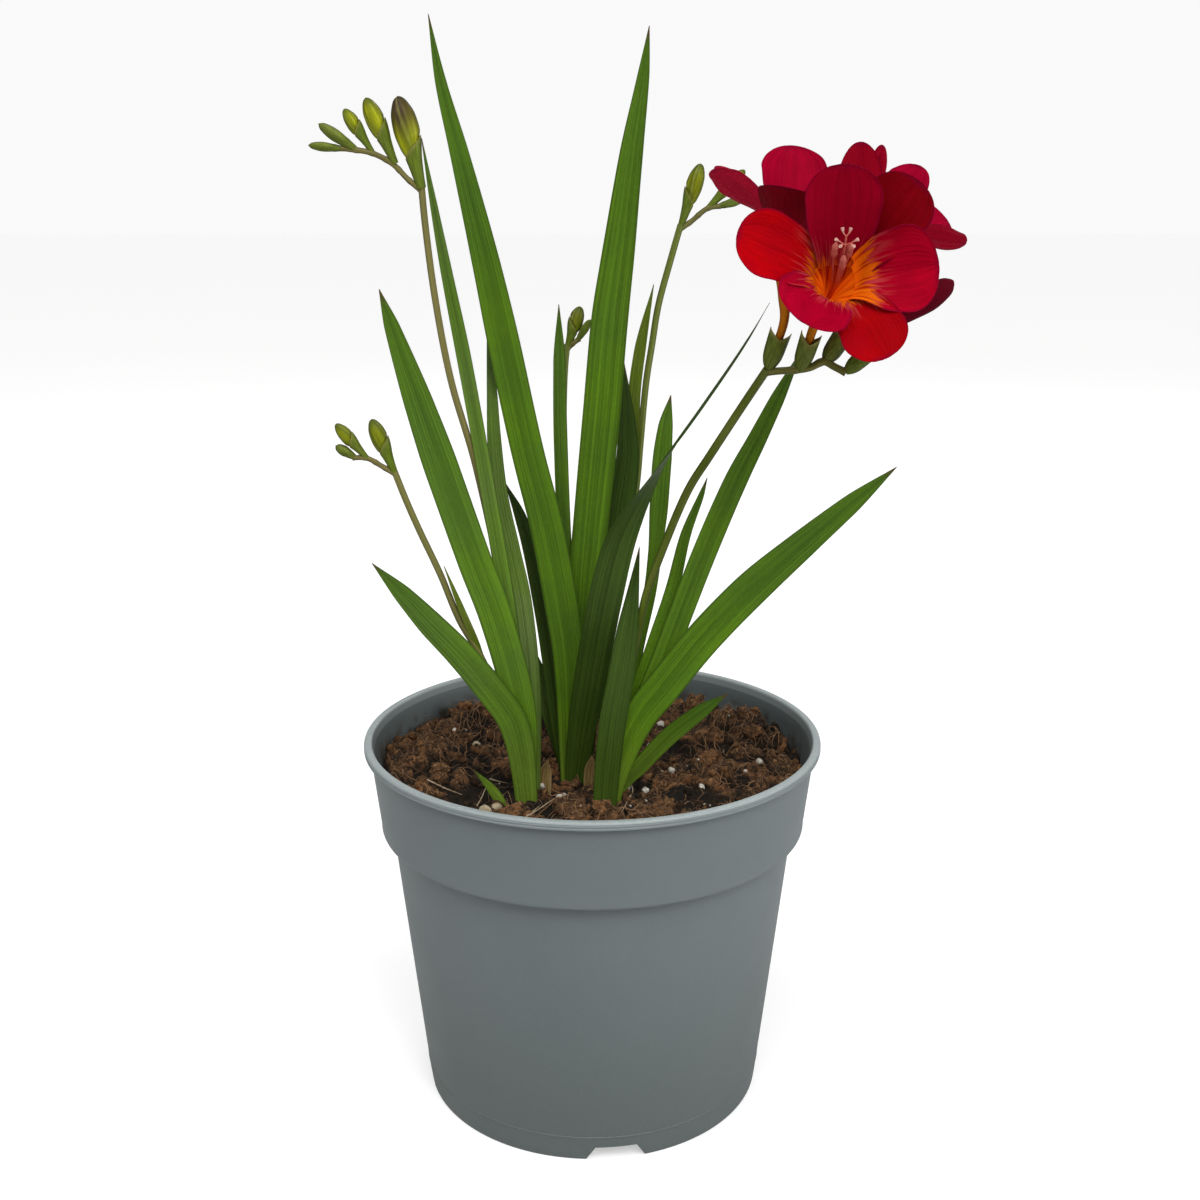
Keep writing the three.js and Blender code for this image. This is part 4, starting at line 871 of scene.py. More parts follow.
# Two bracts wrapped closely round the lower half of the spindle
def addWrappedCup(pile, bud, tone):
    upright = uprightFrame(bud["base"], bud["tip"])
    angle = turns(40)
    steps = np.concatenate([evenly(16), np.linspace(1, stemForm["cupDepth"], 6)])
    inset = np.concatenate([np.zeros(16), np.linspace(0.14, 0.3, 6)])
    radius, share = spindleRings(bud, angle, steps, inset)
    fromSeam = (angle * bud["facing"] - np.pi * 0.72) % (2 * np.pi)
    lapped = np.exp(-fromSeam / 0.5) - np.exp(-(2 * np.pi - fromSeam) / 0.12)
    keel = np.exp(-((1 - bud["facing"] * np.cos(angle)) / 0.03))
    steps = steps[:, None]
    radius = radius * (1 + (0.05 * lapped + 0.03 * keel) * ease(0.1, 0.5, steps))
    data = skinData(bractSpan(len(angle)), steps * 0.98, tone, (ease(0.9, 1, steps) * 0.7, 0))
    addRings(pile, upright, angle, radius, share * upright[4], data)


# The bud fills the cup's mouth, and swells to the spindle above it
def makeCuppedBud(name, bud):
    form = budForms["cupped"]
    upright, angle = uprightFrame(bud["base"], bud["tip"]), turns(form["sides"])
    steps = np.linspace(0.66, 2, form["rows"])
    radius, share = spindleRings(bud, angle, steps, 0.42 * (1 - ease(0.98, 1.16, steps)))
    pile = SkinPile()
    addBudRings(pile, form, upright, angle, radius, share, bud["turn"], (bud["yellow"], bud["blush"]))
    pile.buildFor(name, "Petals", budSkin)


def addSmallBud(pile, base, tip, radius, tone):
    outline = [(0.45, 0.02), (0.8, 0.3), (1, 0.58), (0.72, 0.85)]
    profile = [[0.02, 0], *([share * radius, height] for share, height in outline), [0.02, 1]]
    addBud(pile, budForms["small"], profile, base, tip, tone)


# A stem's own leaf is cupped round the stem
stemLeafForm = {
    "columns": 11, "rowLength": 1.6, "middle": 0.5, "edge": 0.16, "tipRun": 8,
    "cupped": 0.35, "fullHalf": 1.6,
}


def addStemLeaf(pile, form, stations, tone):
    blade = {"stations": stations}
    grid, normal, place, half, run, _ = bladeRows(blade, form["columns"], form["rowLength"], 0)
    fullness = np.minimum(half, form["fullHalf"])[:, None]
    cupped = form["cupped"] * (1 - place ** 2) * fullness / form["fullHalf"]
    taper = np.clip((run[-1] - run) / form["tipRun"], 0.3, 1)[:, None]
    thickness = mix(form["middle"], form["edge"], np.abs(place) ** 1.5) * taper
    pile.addSheet(grid - normal[:, None] * cupped[..., None], thickness, bladeData(place, run, tone))


def makeSpray(name, spray):
    buds = {budName: dict(zip(budColumns, row)) for budName, row in spray["buds"].items()}
    slot = spray.get("slot", "stem")
    steps = evenly(71)
    green = np.maximum(spray["green"], 0.8 * (1 - ease(0.1, 0.65, steps)))
    pile = SkinPile()
    addCord(pile, spray["stem"], stemForm["radius"] * mix(1.08, 0.94, steps), 14, (green[:, None], 0))
    swell = 1 + 0.16 * np.cos(evenly(25) * 2 * np.pi * len(buds)) ** 8
    addCord(pile, spray["rachis"], stemForm["rachisRadius"] * swell, 12, (0.3, 0.1), (0, 0.35))
    for bud in buds.values():
        addWrappedCup(pile, bud, (0.95, 0.2))
    for base, tip, radius in spray["small"]:
        addSmallBud(pile, base, tip, radius, (0.85, 0.3))
    if "stemLeaf" in spray:
        addStemLeaf(pile, stemLeafForm, spray["stemLeaf"], (1, 0.3))
    pile.buildFor(name, "Stem", stemGreen if slot == "green_stem" else stemStraw)
    for budName, bud in buds.items():
        makeCuppedBud(budName, bud)


def makeBloomStem(name):
    steps = evenly(91)
    dark = mix(0.6, 1, ease(0.3, 0.9, steps)[:, None])
    pile = SkinPile()
    addCord(pile, bloomStem["stem"], bloomStem["radius"] * mix(1.06, 0.95, steps), 16, (1, dark))
    swell = 1 + 0.14 * np.cos(evenly(37) * 3 * np.pi) ** 8
    addCord(pile, bloomStem["rachis"], bloomStem["rachisRadius"] * swell, 14, (0.8, 0.75), (0, 0.3))
    for cup in bloomStem["cups"]:
        addCup(pile, cup, (1, 0.8))
    pile.buildFor(name, "Stem", stemStraw)


for name, spray in sprays.items():
    makeSpray(name, spray)
makeBloomStem("stem_right_1")
print("stems and buds made")


# Petal finish. Tone carries how bright and how cool a petal is. Marks carry how far a
# spot is past the orange of the throat, and which face it is on.
def makePetalMaterial(name, shades):
    petal = Finish(name, specular=0.02)
    bright, cool = petal.pair("tone")
    past, face = petal.pair("marks")
    along = petal.pair("span")[1]
    lines = petal.fibres(34, 1.6, 0.06, 0.045)
    spots = petal.mottle(0.008, 0.0005)
    veins, broad = petal.fade(lines["Lines"], 0.5, 0.85), lines["Broad Lines"]
    red = petal.blend(bright, shades["deep"], shades["scarlet"])
    red = petal.coat(red, cool, shades["crimson"])
    red = petal.coat(red, spots["Patches"], shades["patch"], 0.3)
    streaks = petal.total(0.94, (lines["Lines"], 0.07), (broad, 0.1))
    # Painted shade: the red darkens where the petal turns away from view
    red = petal.shaded(red, petal.times(streaks, petal.fade(petal.facing(), 0.25, 0.95, 1, 0.6)))
    rim = petal.calc("MAXIMUM", lines["Margin"], petal.fade(along, 0.92, 1))
    red = petal.coat(red, rim, shades["rim"], 0.5)
    veined = petal.coat(red, veins, shades["pale"], petal.fade(past, 0.36, 0.04, 0, 0.36))
    glow = petal.blend(petal.fade(past, -0.42, -0.04), shades["throat"], shades["orange"])
    glow = petal.coat(glow, broad, shades["amber"], 0.35)
    glow = petal.coat(glow, veins, shades["streak"], petal.fade(past, -0.4, -0.02, 0.35, 0.95))
    ragged = past
    for line, depth in ((lines["Lines"], 0.07), (broad, 0.05)):
        ragged = petal.calc("ADD", ragged, petal.spread(line, -depth, depth, "LINEAR"))
    inside = petal.blend(petal.fade(ragged, -0.06, 0.07), glow, veined)
    tube = petal.blend(broad, shades["tube"], shades["tubeDark"])
    outside = petal.coat(red, bright, shades["back"], 0.4)
    outside = petal.blend(petal.fade(along, -0.14, 0.12), tube, outside)
    # Painted light: the orange inside the throat glows, standing in for light coming through the thin petals
    lit = petal.times(face, petal.fade(past, -0.04, -0.3))
    petal.put(petal.blend(lit, (0, 0, 0), glow), petal.shader["Emission Color"])
    petal.put(0.5, petal.shader["Emission Strength"])
    relief = petal.calc("ADD", lines["Lines"], petal.times(lines["Rib"], -1.2))
    rough = petal.spread(spots["Specks"], 0.5, 0.66)
    return petal.done(petal.blend(face, outside, inside), rough, relief, 0.00018, 0.6)


petalShades = {
    "deep": (0.085, 0.0, 0.001),
    "scarlet": (0.420, 0.0, 0.002),
    "crimson": (0.340, 0.0, 0.026),
    "patch": (0.200, 0.0, 0.008),
    "rim": (0.130, 0.0, 0.020),
    "pale": (0.560, 0.100, 0.090),
    "throat": (0.560, 0.070, 0.002),
    "orange": (0.640, 0.110, 0.002),
    "amber": (0.700, 0.180, 0.004),
    "streak": (0.330, 0.010, 0.002),
    "tube": (0.400, 0.130, 0.006),
    "tubeDark": (0.240, 0.070, 0.008),
    "back": (0.560, 0.020, 0.055),
}
darkPetalShades = {
    **petalShades,
    "deep": (0.055, 0.0, 0.004),
    "scarlet": (0.110, 0.002, 0.006),
    "crimson": (0.090, 0.002, 0.012),
    "patch": (0.050, 0.004, 0.006),
    "tube": (0.200, 0.110, 0.014),
    "tubeDark": (0.110, 0.060, 0.008),
    "back": (0.080, 0.001, 0.008),
}
petalRed = makePetalMaterial("petalRed", petalShades)
petalDark = makePetalMaterial("petalDark", darkPetalShades)


def makeStamenMaterial():
    pink = Finish("stamenPink")
    pale, orange = pink.pair("tone")
    spots = pink.mottle(0.003, 0.0003)
    colour = pink.blend(pale, (0.500, 0.062, 0.040), (0.760, 0.440, 0.360))
    colour = pink.coat(colour, orange, (0.600, 0.110, 0.006))
    colour = pink.coat(colour, spots["Patches"], (0.420, 0.070, 0.050), 0.4)
    return pink.done(colour, pink.spread(spots["Specks"], 0.5, 0.7), spots["Specks"], 0.0001)


stamenPink = makeStamenMaterial()

# Flowers, as in the drawing. Glow is how far up a petal the orange reaches.
throat = {"radius": 7.8, "depth": 17, "floor": 0.6, "flare": 26, "tubeRadius": 1.5, "sides": 36}
petalForm = {
    "rows": 34, "columns": 23, "foot": -0.1, "innerStep": 0.9, "flatRadius": 26, "middle": 0.42, "edge": 0.16,
    "wave": 0.8, "groove": 0.4, "folds": 0.22, "jitter": 0.012,
}
# Bright and cool set each petal's red; a low bright is painted shade on the petals that lie in shadow
petalColumns = ("angle", "length", "width", "spread", "roll", "blunt", "inner", "bright", "cool", "glow")
flowers = {
    "flower_1": {
        "cup": 0, "throat": [62.2, -47, 323.4], "axis": [0.1, -0.22, 0.95], "up": [0, 1, 0.2],
        "stamenReach": 0.5,
        "petals": [
            (89, 26.8, 22.5, 40, 0, 1.5, True, 0.45, 0.7, 0.1),
            (152, 25, 13, 60, 0, 2.2, False, 0.8, 0.8, 0.1),
            (190, 27, 13, 56, 40, 2.2, True, 1.0, 0.8, 0.1),
            (250, 19.5, 20, 34, 0, 2.2, False, 0.12, 0.15, 0.1),
            (312, 21, 18, 34, 0, 2.2, True, 0.15, 0.3, 0.1),
            (30, 18, 16, 18, 0, 2.2, False, 0.2, 0.3, 0.1),
        ],
    },
    "flower_2": {
        "cup": 1, "throat": [73, -73, 309.5], "axis": [0, -0.9, 0.42], "up": [0, 0.42, 0.9],
        "stamenReach": 1.0,
        "petals": [
            (90, 28, 24, 52, 0, 2.2, True, 0.26, 0.35, -0.03),
            (47, 29.5, 23, 65, 0, 2.2, False, 0.18, 0.05, -0.06),
            (-2, 24.6, 27, 62, 18, 2.2, True, 0.85, 0.45, 0.22),
            (-66, 24, 21, 78, 0, 2.2, False, 0.72, 0.0, 0.14),
            (-128, 19.2, 25.5, 56, 0, 2.2, True, 0.8, 0.6, 0.1),
            (166, 29, 22, 64, 0, 2.2, False, 0.9, 0.0, 0.1),
        ],
    },
    "flower_3": {
        "cup": 2, "throat": [89, -37, 321], "axis": [0.25, -0.12, 0.95], "up": [-0.2, 0.95, 0.1],
        "stamenReach": 0.72,
        "petals": [
            (107, 28.8, 15, 24, -25, 1.2, True, 0.25, 0.25, 0.1),
            (83, 29.5, 6, 24, 0, 2.2, False, 0.25, 0.4, 0.1),
            (8, 22, 18, 68, 32, 2.2, True, 0.15, 0.6, 0.1),
            (-54, 26.5, 13, 82, 34, 2.2, False, 0.1, 0.3, 0.1),
            (-115, 21, 18, 46, 0, 2.2, True, 0.2, 0.2, 0.1),
            (46, 27.5, 15.5, 30, 0, 2.2, False, 0.35, 0.8, 0.1),
        ],
    },
}


# Points in a flower's own frame, put where the drawing has them
def inDrawing(points, placing):
    right, upper, outward, origin = placing
    return origin + points[..., :1] * right + points[..., 1:2] * upper + points[..., 2:] * outward


# A petal's centre line leaves the throat's rim at the flare angle, and bends out to its
# spread. Its width grows from its foot and closes at its end.
def petalRows(petal, form):
    marks = np.array([form["foot"], 0.12, 0.38, 0.64, 0.86, 1])
    lean = np.radians(mix(throat["flare"], petal["spread"], ease(0, 0.55, marks)))
    reach = np.concatenate([[marks[0]], np.diff(marks)]) * petal["length"]
    start = throat["radius"] - (form["innerStep"] if petal["inner"] else 0)
    line = np.stack([start + np.cumsum(np.sin(lean) * reach), np.cumsum(np.cos(lean) * reach)], axis=1)
    rows = form["rows"]
    share = mix(form["foot"], 1, np.sin(np.linspace(0, np.pi / 2, rows)) * 0.45 + evenly(rows) * 0.55)
    place = np.interp(share, marks, evenly(len(marks)))
    narrow = curveAt([[form["foot"], 0.5], [0.12, 0.66], [0.38, 0.92], [0.64, 1]], evenly(60))
    closing = np.clip(1 - (np.clip(share - 0.64, 0, 1) / 0.362) ** petal["blunt"], 0, 1) ** 0.5
    width = np.where(share < 0.64, np.interp(share, narrow[:, 0], narrow[:, 1]), closing)
    return share, curveAt(line, place), directionAt(line, place), np.maximum(width, 0.03) * petal["width"]


# Across it, a petal is curved round the throat at its foot and flatter further out. It is
# waved at its margins, grooved along its middle and ragged at its end.
def addPetal(pile, petal, form, placing):
    share, centre, slope, width = petalRows(petal, form)
    out, side = outAndSide(petal["angle"])
    axis = np.array([0.0, 0.0, 1.0])
    place = acrossPlaces(form["columns"], 0.4)
    normal = -out * slope[:, 1:] + axis * slope[:, :1]
    roll = np.radians(petal["roll"]) * ease(0, 0.5, share)[:, None]
    aside = side * np.cos(roll) + normal * np.sin(roll)
    normal = normal * np.cos(roll) - side * np.sin(roll)
    middle = out * centre[:, :1] + axis * centre[:, 1:]
    tip = out * slope[:, :1] + axis * slope[:, 1:]
    share = share[:, None]
    fullness = (width / petal["width"])[:, None]
    rounding = mix(throat["radius"], form["flatRadius"], np.clip(share, 0, 1))
    swing = place * 0.5 * width[:, None] / rounding
    phase = dice.uniform(0, 2 * np.pi, 4)
    free = ease(0.15, 0.75, share)
    ripple = np.sin(share * 9 + phase[0] + place * 1.3) * 0.6 + np.sin(share * 17 + phase[1]) * 0.3
    wave = form["wave"] * free * ripple * np.abs(place) ** 2.5
    groove = -form["groove"] * np.exp(-(place / 0.13) ** 2) * ease(0.05, 0.5, share)
    folds = form["folds"] * free * np.cos(place * 7 + phase[2])
    closing = fullness * (1 - ease(0.82, 1, share))
    lift = rounding * (1 - np.cos(swing)) + (wave + groove + folds) * closing
    swung = aside[:, None] * (rounding * np.sin(swing))[..., None]
    grid = middle[:, None] + swung + normal[:, None] * lift[..., None]
    jagged = np.sin(place * 8 + phase[3]) + 0.6 * np.sin(place * 19 + phase[0])
    jitter = form["jitter"] * petal["length"] * jagged
    grid = grid + tip[:, None] * (ease(0.6, 0.9, share) * jitter * fullness)[..., None]
    thickness = mix(form["middle"], form["edge"], np.abs(place) ** 2) * (1 - 0.5 * ease(0.7, 1, share))
    past = share - petal["glow"] + 0.10 * (1 - place ** 2) - 0.05
    tone = (petal["bright"], petal["cool"])
    outer, inner = (skinData((place[None] + 1) / 2, share, tone, (past, face)) for face in (0, 1))
    pile.addSheet(inDrawing(grid, placing), thickness, outer, inner)


# The tube leaves the cup thin, and opens as a funnel into the throat
def addFunnel(pile, path, placing, tone):
    thin, wide = throat["tubeRadius"], throat["radius"]
    outer = curveAt([
        [0, 0.8 * thin], [0.3, thin], [0.5, 1.35 * thin], [0.66, 0.4 * wide], [0.84, 0.72 * wide],
        [0.985, wide - 0.35]], evenly(40))
    inner = curveAt([
        [0.985, wide - 0.7], [0.84, 0.72 * wide - 0.6], [0.68, 0.43 * wide - 0.7],
        [throat["floor"], 1.5]], evenly(22))
    share, radius = np.concatenate([outer, inner]).T[..., None]
    where = evenShares(path, share[:, 0])
    along = directionAt(path, where)
    right = unit(np.cross([0, 1, 0], along))
    angle = turns(throat["sides"])
    ribs = 1 + 0.025 * np.cos(6 * angle) * ease(0.45, 0.9, share)
    out = spokes(right[:, None], np.cross(along, right)[:, None], angle) * (radius * ribs)[..., None]
    around = evenly(throat["sides"] + 1)[None]
    past = (share - 1) * 0.9 - 0.12 + 0.3 * ease(0.4, 1, np.sin(2 * np.pi * around))
    face = np.repeat([0, 1], [len(outer), len(inner)])[:, None]
    rings = inDrawing(curveAt(path, where)[:, None] + out, placing)
    pile.addLoft(rings, skinData(around, share - 1, tone, (past, face)))


# Radii from one end to the other, a branch's or an anther's as its least and its swell
stamenForm = {
    "style": (0.5, 0.34), "filament": (0.45, 0.3), "anther": (0.12, 0.9), "branch": (0.22, 0.3),
    "angles": (30, 150, 270), "fork": 22,
}


# Stamens joined at the foot of a style whose branches spread. Spots are given by angle,
# radius, lean and height.
def addStamens(pile, path, placing, reach):
    def spot(angle, radius, lean, height):
        turn = math.radians(angle)
        return [radius * math.cos(turn), radius * math.sin(turn) + reach * lean, reach * height]

    def cord(points, radii, sides, tone):
        addCord(pile, inDrawing(np.asarray(points, float), placing), radii, sides, tone)

    where = evenShares(path, [throat["floor"], 0.8])
    root, neck = curveAt(path, where)
    root = root + directionAt(path, where)[0] * 0.45
    steps, part, tip = evenly(25), evenly(17), evenly(13)
    tone = (0.08, 1 - ease(0.35, 0.75, steps)[:, None])
    least, swell = stamenForm["anther"]
    plump = least + swell * np.sin(np.pi * part) ** 0.5 * (1 - 0.12 * np.cos(4 * np.pi * part))
    least, swell = stamenForm["branch"]
    forked = least + swell * ease(0.7, 0.95, tip)
    branchTone = (ease(0.6, 0.9, tip)[:, None] * 0.9 + 0.1, 0)
    line = [root, neck, spot(0, 0, 1.4, 2), spot(0, 0, 4.4, 15.5)]
    cord(line, mix(*stamenForm["style"], steps), 8, tone)
    for angle in stamenForm["angles"]:
        foot, bend = root + spot(angle, 0.4, 0, 0), neck + spot(angle, 0.9, 0, 0)
        line = [foot, bend, spot(angle, 1.7, 1.2, 1), spot(angle, 2.6, 2.9, 8)]
        cord(line, mix(*stamenForm["filament"], steps), 8, tone)
        anther = [spot(angle, 2.3, 2.8, 6.8), spot(angle, 2.6, 3.6, 9.6), spot(angle, 2.6, 4.9, 12.6)]
        cord(anther, plump, 10, (0.16, 0))
        branch = angle + 60
        for end in (branch - stamenForm["fork"], branch + stamenForm["fork"]):
            line = [spot(branch, 0, 4.4, 14.6), spot(branch, 1.3, 4.9, 16.4), spot(end, 2.4, 5.1, 17.1),
                    spot(end, 3.3, 5.4, 17.8)]
            cord(line, forked, 8, branchTone)


# A flower's tube starts in its cup and bends into the throat
def makeFlower(name, flower, number):
    outward = unit(np.array(flower["axis"], float))
    right = unit(np.cross(flower["up"], outward))
    upper = np.cross(outward, right)
    origin = np.array(flower["throat"], float)
    placing = (right, upper, outward, origin)
    cup = bloomStem["cups"][flower["cup"]]
    base, top = (np.array([(np.array(cup[end]) - origin).dot(axis) for axis in (right, upper, outward)])
                 for end in ("base", "top"))
    mouth, lean = mix(base, top, 1.4), unit(top - base)
    depth = throat["depth"]
    bend = mix(mouth, np.array([0, 0, -depth]), 0.6) + lean * 1.5
    path = np.array([mix(base, top, 0.5), mouth, bend, [0, 0, -0.55 * depth], [0, 0, 0]])
    pile = SkinPile()
    addFunnel(pile, path, placing, (0.4, 0.3))
    for row in flower["petals"]:
        addPetal(pile, dict(zip(petalColumns, row)), petalForm, placing)
    pile.build("bloom" + str(number) + "Petals", petalRed, [name])
    pile = SkinPile()
    addStamens(pile, path, placing, flower["stamenReach"])
    pile.build("bloom" + str(number) + "Stamens", stamenPink, ["stamens_" + str(number)])


# The last bud of the spray is coloured but shut
bloomBud = {
    "cup": 3, "tone": (0.5, 0.3),
    "neck": [[85.6, -63.9, 287.7], [90.5, -61.5, 292.6], [95.4, -58.4, 297.4]],
    "base": [93.6, -58.8, 295.8], "tip": [111.4, -58, 308.4],
    "profile": [[0.02, 0], [1.7, 0.02], [3.1, 0.3], [3.9, 0.58], [3.2, 0.82], [1.4, 0.96], [0.02, 1]],
}


def makeBloomBud(name):
    cup = bloomStem["cups"][bloomBud["cup"]]
    foot = mix(np.array(cup["base"], float), np.array(cup["top"], float), 0.5)
    radii = 1.4 + 0.5 * ease(0.5, 1, evenly(21))
    pile = SkinPile()
    addCord(pile, [foot, *bloomBud["neck"]], radii, 16, (0.3, 0.2), (-0.3, 0), -1)
    shape = (bloomBud[key] for key in ("profile", "base", "tip", "tone"))
    addBud(pile, budForms["bloom"], *shape)
    pile.build("bloomBudPetals", petalDark, [name])


for number, (name, flower) in enumerate(flowers.items(), 1):
    makeFlower(name, flower, number)
makeBloomBud("flower_bud")
print("flowers made")


# Pot. Sizes as in the drawing, with a rolled lip, two fine bands on it and a mould line.
pot = {
    "height": 140, "rimRadius": 85, "lipDepth": 3, "lipReach": 2.3, "wall": 1.6, "sides": 192,
    "collarDepth": 34, "collarFootRadius": 79.6, "bodyTopRadius": 75.5, "bodyFootRadius": 64.1,
    "floorHeight": 5.4, "floorThickness": 2, "padRadius": 15, "mouldLine": 9.6,
    "notches": 4, "notchWidth": 23, "notchTop": 15, "notchHeight": 5.4, "firstNotch": -82.6,
    "drains": 8, "drainRadius": 4.5, "drainCircle": 44,
}
collarFoot = pot["height"] - pot["collarDepth"]
collarTopRadius = pot["rimRadius"] - pot["lipReach"]
lipFoot = pot["height"] - pot["lipDepth"]
floorTop = pot["floorHeight"] + pot["floorThickness"]
stepFoot, stepTop = collarFoot - 2, collarFoot + 3  # where the inside widens to the collar


def bodyRadius(z):
    return mix(pot["bodyFootRadius"], pot["bodyTopRadius"], z / collarFoot)


def innerRadius(z):
    wall = pot["wall"]
    collar = mix(pot["collarFootRadius"], collarTopRadius, (z - stepTop) / (lipFoot - stepTop)) - wall
    low, high = bodyRadius(stepFoot) - wall, pot["collarFootRadius"] - wall
    step = mix(low, high, (z - stepFoot) / (stepTop - stepFoot))
    return np.where(z <= stepFoot, bodyRadius(z) - wall, np.where(z >= stepTop, collar, step))


# Points of an arc from one angle to another, in degrees
def arc(radius, height, size, start, end, count=6):
    return [[radius + size * math.cos(turn), height + size * math.sin(turn)]
            for turn in np.radians(np.linspace(start, end, count))]


# The outline of the pot's cut, from its pad out, up the outside, over the lip and down
def potProfile():
    foot, rim, top, pad = pot["bodyFootRadius"], pot["rimRadius"], pot["height"], pot["padRadius"]
    low, line, collar = pot["floorHeight"], pot["mouldLine"], pot["collarFootRadius"]
    outline = [[0.01, 0], [pad - 0.5, 0], [pad, 0.5], [pad, low], [bodyRadius(low) - 3.2, low]]
    outline += [[foot - 3.2, 0.3], [foot - 2.9, 0], *arc(foot - 0.8, 0.8, 0.8, -90, 0)]
    outline += [[bodyRadius(z), z] for z in (3, 6, line - 0.4)]
    outline += [[bodyRadius(z) + 0.14, z] for z in (line - 0.25, line + 0.25)]
    outline += [[bodyRadius(z), z] for z in np.linspace(line + 0.4, collarFoot - 1.5, 14)]
    outline += [[pot["bodyTopRadius"] + 0.1, collarFoot - 0.3], [pot["bodyTopRadius"] + 0.6, collarFoot]]
    outline += arc(collar - 1.4, collarFoot + 1.4, 1.4, -90, -8)
    outline += [[mix(collar, collarTopRadius, share), mix(stepTop, lipFoot - 1, share)]
                for share in evenly(8)]
    outline += arc(collarTopRadius + 0.7, lipFoot - 0.7, 0.7, 180, 90, 4)
    outline += arc(rim - 0.5, lipFoot + 0.5, 0.5, -90, 0, 4)
    bands = [(0, 0.8), (0.22, 1), (0.22, 1.15), (0, 1.35), (0, 1.75), (0.18, 1.92), (0.05, 2.1)]
    outline += [[rim - inset, lipFoot + rise] for inset, rise in bands]
    outline += arc(rim - 1, top - 0.9, 0.9, 10, 90)
    outline += arc(rim - 2.2, top - 0.8, 0.8, 90, 172)
    inside = [lipFoot - 0.6, *np.linspace(lipFoot - 3, stepTop, 8), stepFoot]
    inside += [*np.linspace(collarFoot - 6, floorTop + 2, 10)]
    outline += [[float(innerRadius(z)), z] for z in inside]
    outline += arc(float(innerRadius(floorTop)) - 1.6, floorTop + 1.6, 1.6, 0, -90)
    outline += [[60, floorTop], [30, floorTop], [0.01, floorTop]]
    return np.array(outline, float)


# Cuts loose shapes out of a piece for good
def cutOut(piece, shapes):
    mesh = shapes.mesh("cutter")
    cutter = linked("cutter", mesh)
    cut = piece.modifiers.new("cut", "BOOLEAN")
    cut.operation = "DIFFERENCE"
    cut.solver = "EXACT"
    cut.object = cutter
    bpy.context.view_layer.update()
    old = piece.data
    cleaned = bpy.data.meshes.new_from_object(piece.evaluated_get(bpy.context.evaluated_depsgraph_get()))
    piece.modifiers.clear()
    piece.data = cleaned
    cleaned.name = old.name
    bpy.data.meshes.remove(old)
    bpy.data.objects.remove(cutter)
    bpy.data.meshes.remove(mesh)


def makePotMaterial():
    slate = Finish("slatePlastic")
    spots = slate.mottle(0.03, 0.0009)
    smudges = slate.mottle(0.007, 0.00035)
    height = slate.parts(slate.place())[2]
    foot, rim = lipFoot * mm, pot["height"] * mm
    inside = slate.pair("marks")[0]
    colour = slate.blend(spots["Patches"], (0.130, 0.157, 0.163), (0.137, 0.165, 0.171))
    # Painted shade: the plastic turns darker towards the foot of the pot
    colour = slate.coat(colour, slate.fade(height, 0.110, 0, 0, 0.85), (0.088, 0.108, 0.104))
    colour = slate.coat(colour, smudges["Patches"], (0.105, 0.122, 0.120), 0.05)
    colour = slate.coat(colour, slate.fade(smudges["Specks"], 0.7, 1), (0.22, 0.25, 0.25), 0.25)
    # Painted shade: the inner wall is darker than the outside
    colour = slate.coat(colour, inside, (0.058, 0.072, 0.070), 0.55)
    # Painted highlights: a lighter band along the top of the rim and a lighter line round the foot of the lip
    lit = slate.fade(height, rim - 0.0013, rim - 0.0006, 0, 0.9)
    lip = slate.calc("MAXIMUM", slate.fade(height, foot - 0.0002, foot + 0.0002, 0, 0.4), lit)
    colour = slate.coat(colour, lip, (0.300, 0.340, 0.340))
    wear = slate.times(slate.fade(height, rim - 0.001, rim), slate.fade(spots["Specks"], 0.3, 0.8))
    colour = slate.coat(colour, wear, (0.36, 0.40, 0.40), 0.5)
    overSoil = slate.fade(height, 0.1285, 0.1350, 1, 0)
    soiled = slate.times(inside, overSoil, slate.fade(smudges["Patches"], 0.35, 0.85))
    colour = slate.coat(colour, soiled, (0.040, 0.026, 0.015), 0.75)
    return slate.done(colour, slate.spread(spots["Patches"], 0.46, 0.52), smudges["Specks"], 0.00005, 0.5)


def makePot():
    profile = potProfile()
    angle = turns(pot["sides"])
    radius, height = profile[:, :1], profile[:, 1:]
    rings = np.stack([radius * np.cos(angle), radius * np.sin(angle), height + 0 * angle], axis=-1)
    # Rows of the inner wall, which the slate finish darkens with painted shade
    inside = (np.arange(len(profile)) > np.argmax(height) + 2)[:, None]
    shell = SkinPile()
    data = skinData(evenly(pot["sides"] + 1)[None], evenly(len(profile))[:, None], (0, 0), (inside, 0))
    shell.addLoft(rings, data)
    piece = shell.build("potShell", makePotMaterial(), ["pot"], crease=32)
    holes = SkinPile()
    halfFoot, halfTop, rise = pot["notchWidth"] / 2, pot["notchTop"] / 2, pot["notchHeight"]
    for number in range(pot["notches"]):
        out, side = outAndSide(pot["firstNotch"] + 360 / pot["notches"] * number)
        shape = [(-halfFoot, -1), (halfFoot, -1), (halfTop, rise), (-halfTop, rise)]
        ends = [[out * reach + side * across + [0, 0, up] for across, up in shape]
                for reach in (pot["bodyFootRadius"] - 8, pot["bodyFootRadius"] + 4)]
        holes.addLoft(ends, np.zeros((2, len(shape) + 1, 6)))
    angle = turns(28)
    for number in range(pot["drains"]):
        turn = 2 * math.pi * (number + 0.5) / pot["drains"]
        x = pot["drainCircle"] * math.cos(turn) + pot["drainRadius"] * np.cos(angle)
        y = pot["drainCircle"] * math.sin(turn) + pot["drainRadius"] * np.sin(angle)
        ends = [np.stack([x, y, 0 * x + z], axis=1) for z in (1.5, pot["floorHeight"] + 4)]
        holes.addLoft(ends, np.zeros((2, len(angle) + 1, 6)))
    cutOut(piece, holes)


makePot()
print("pot made")

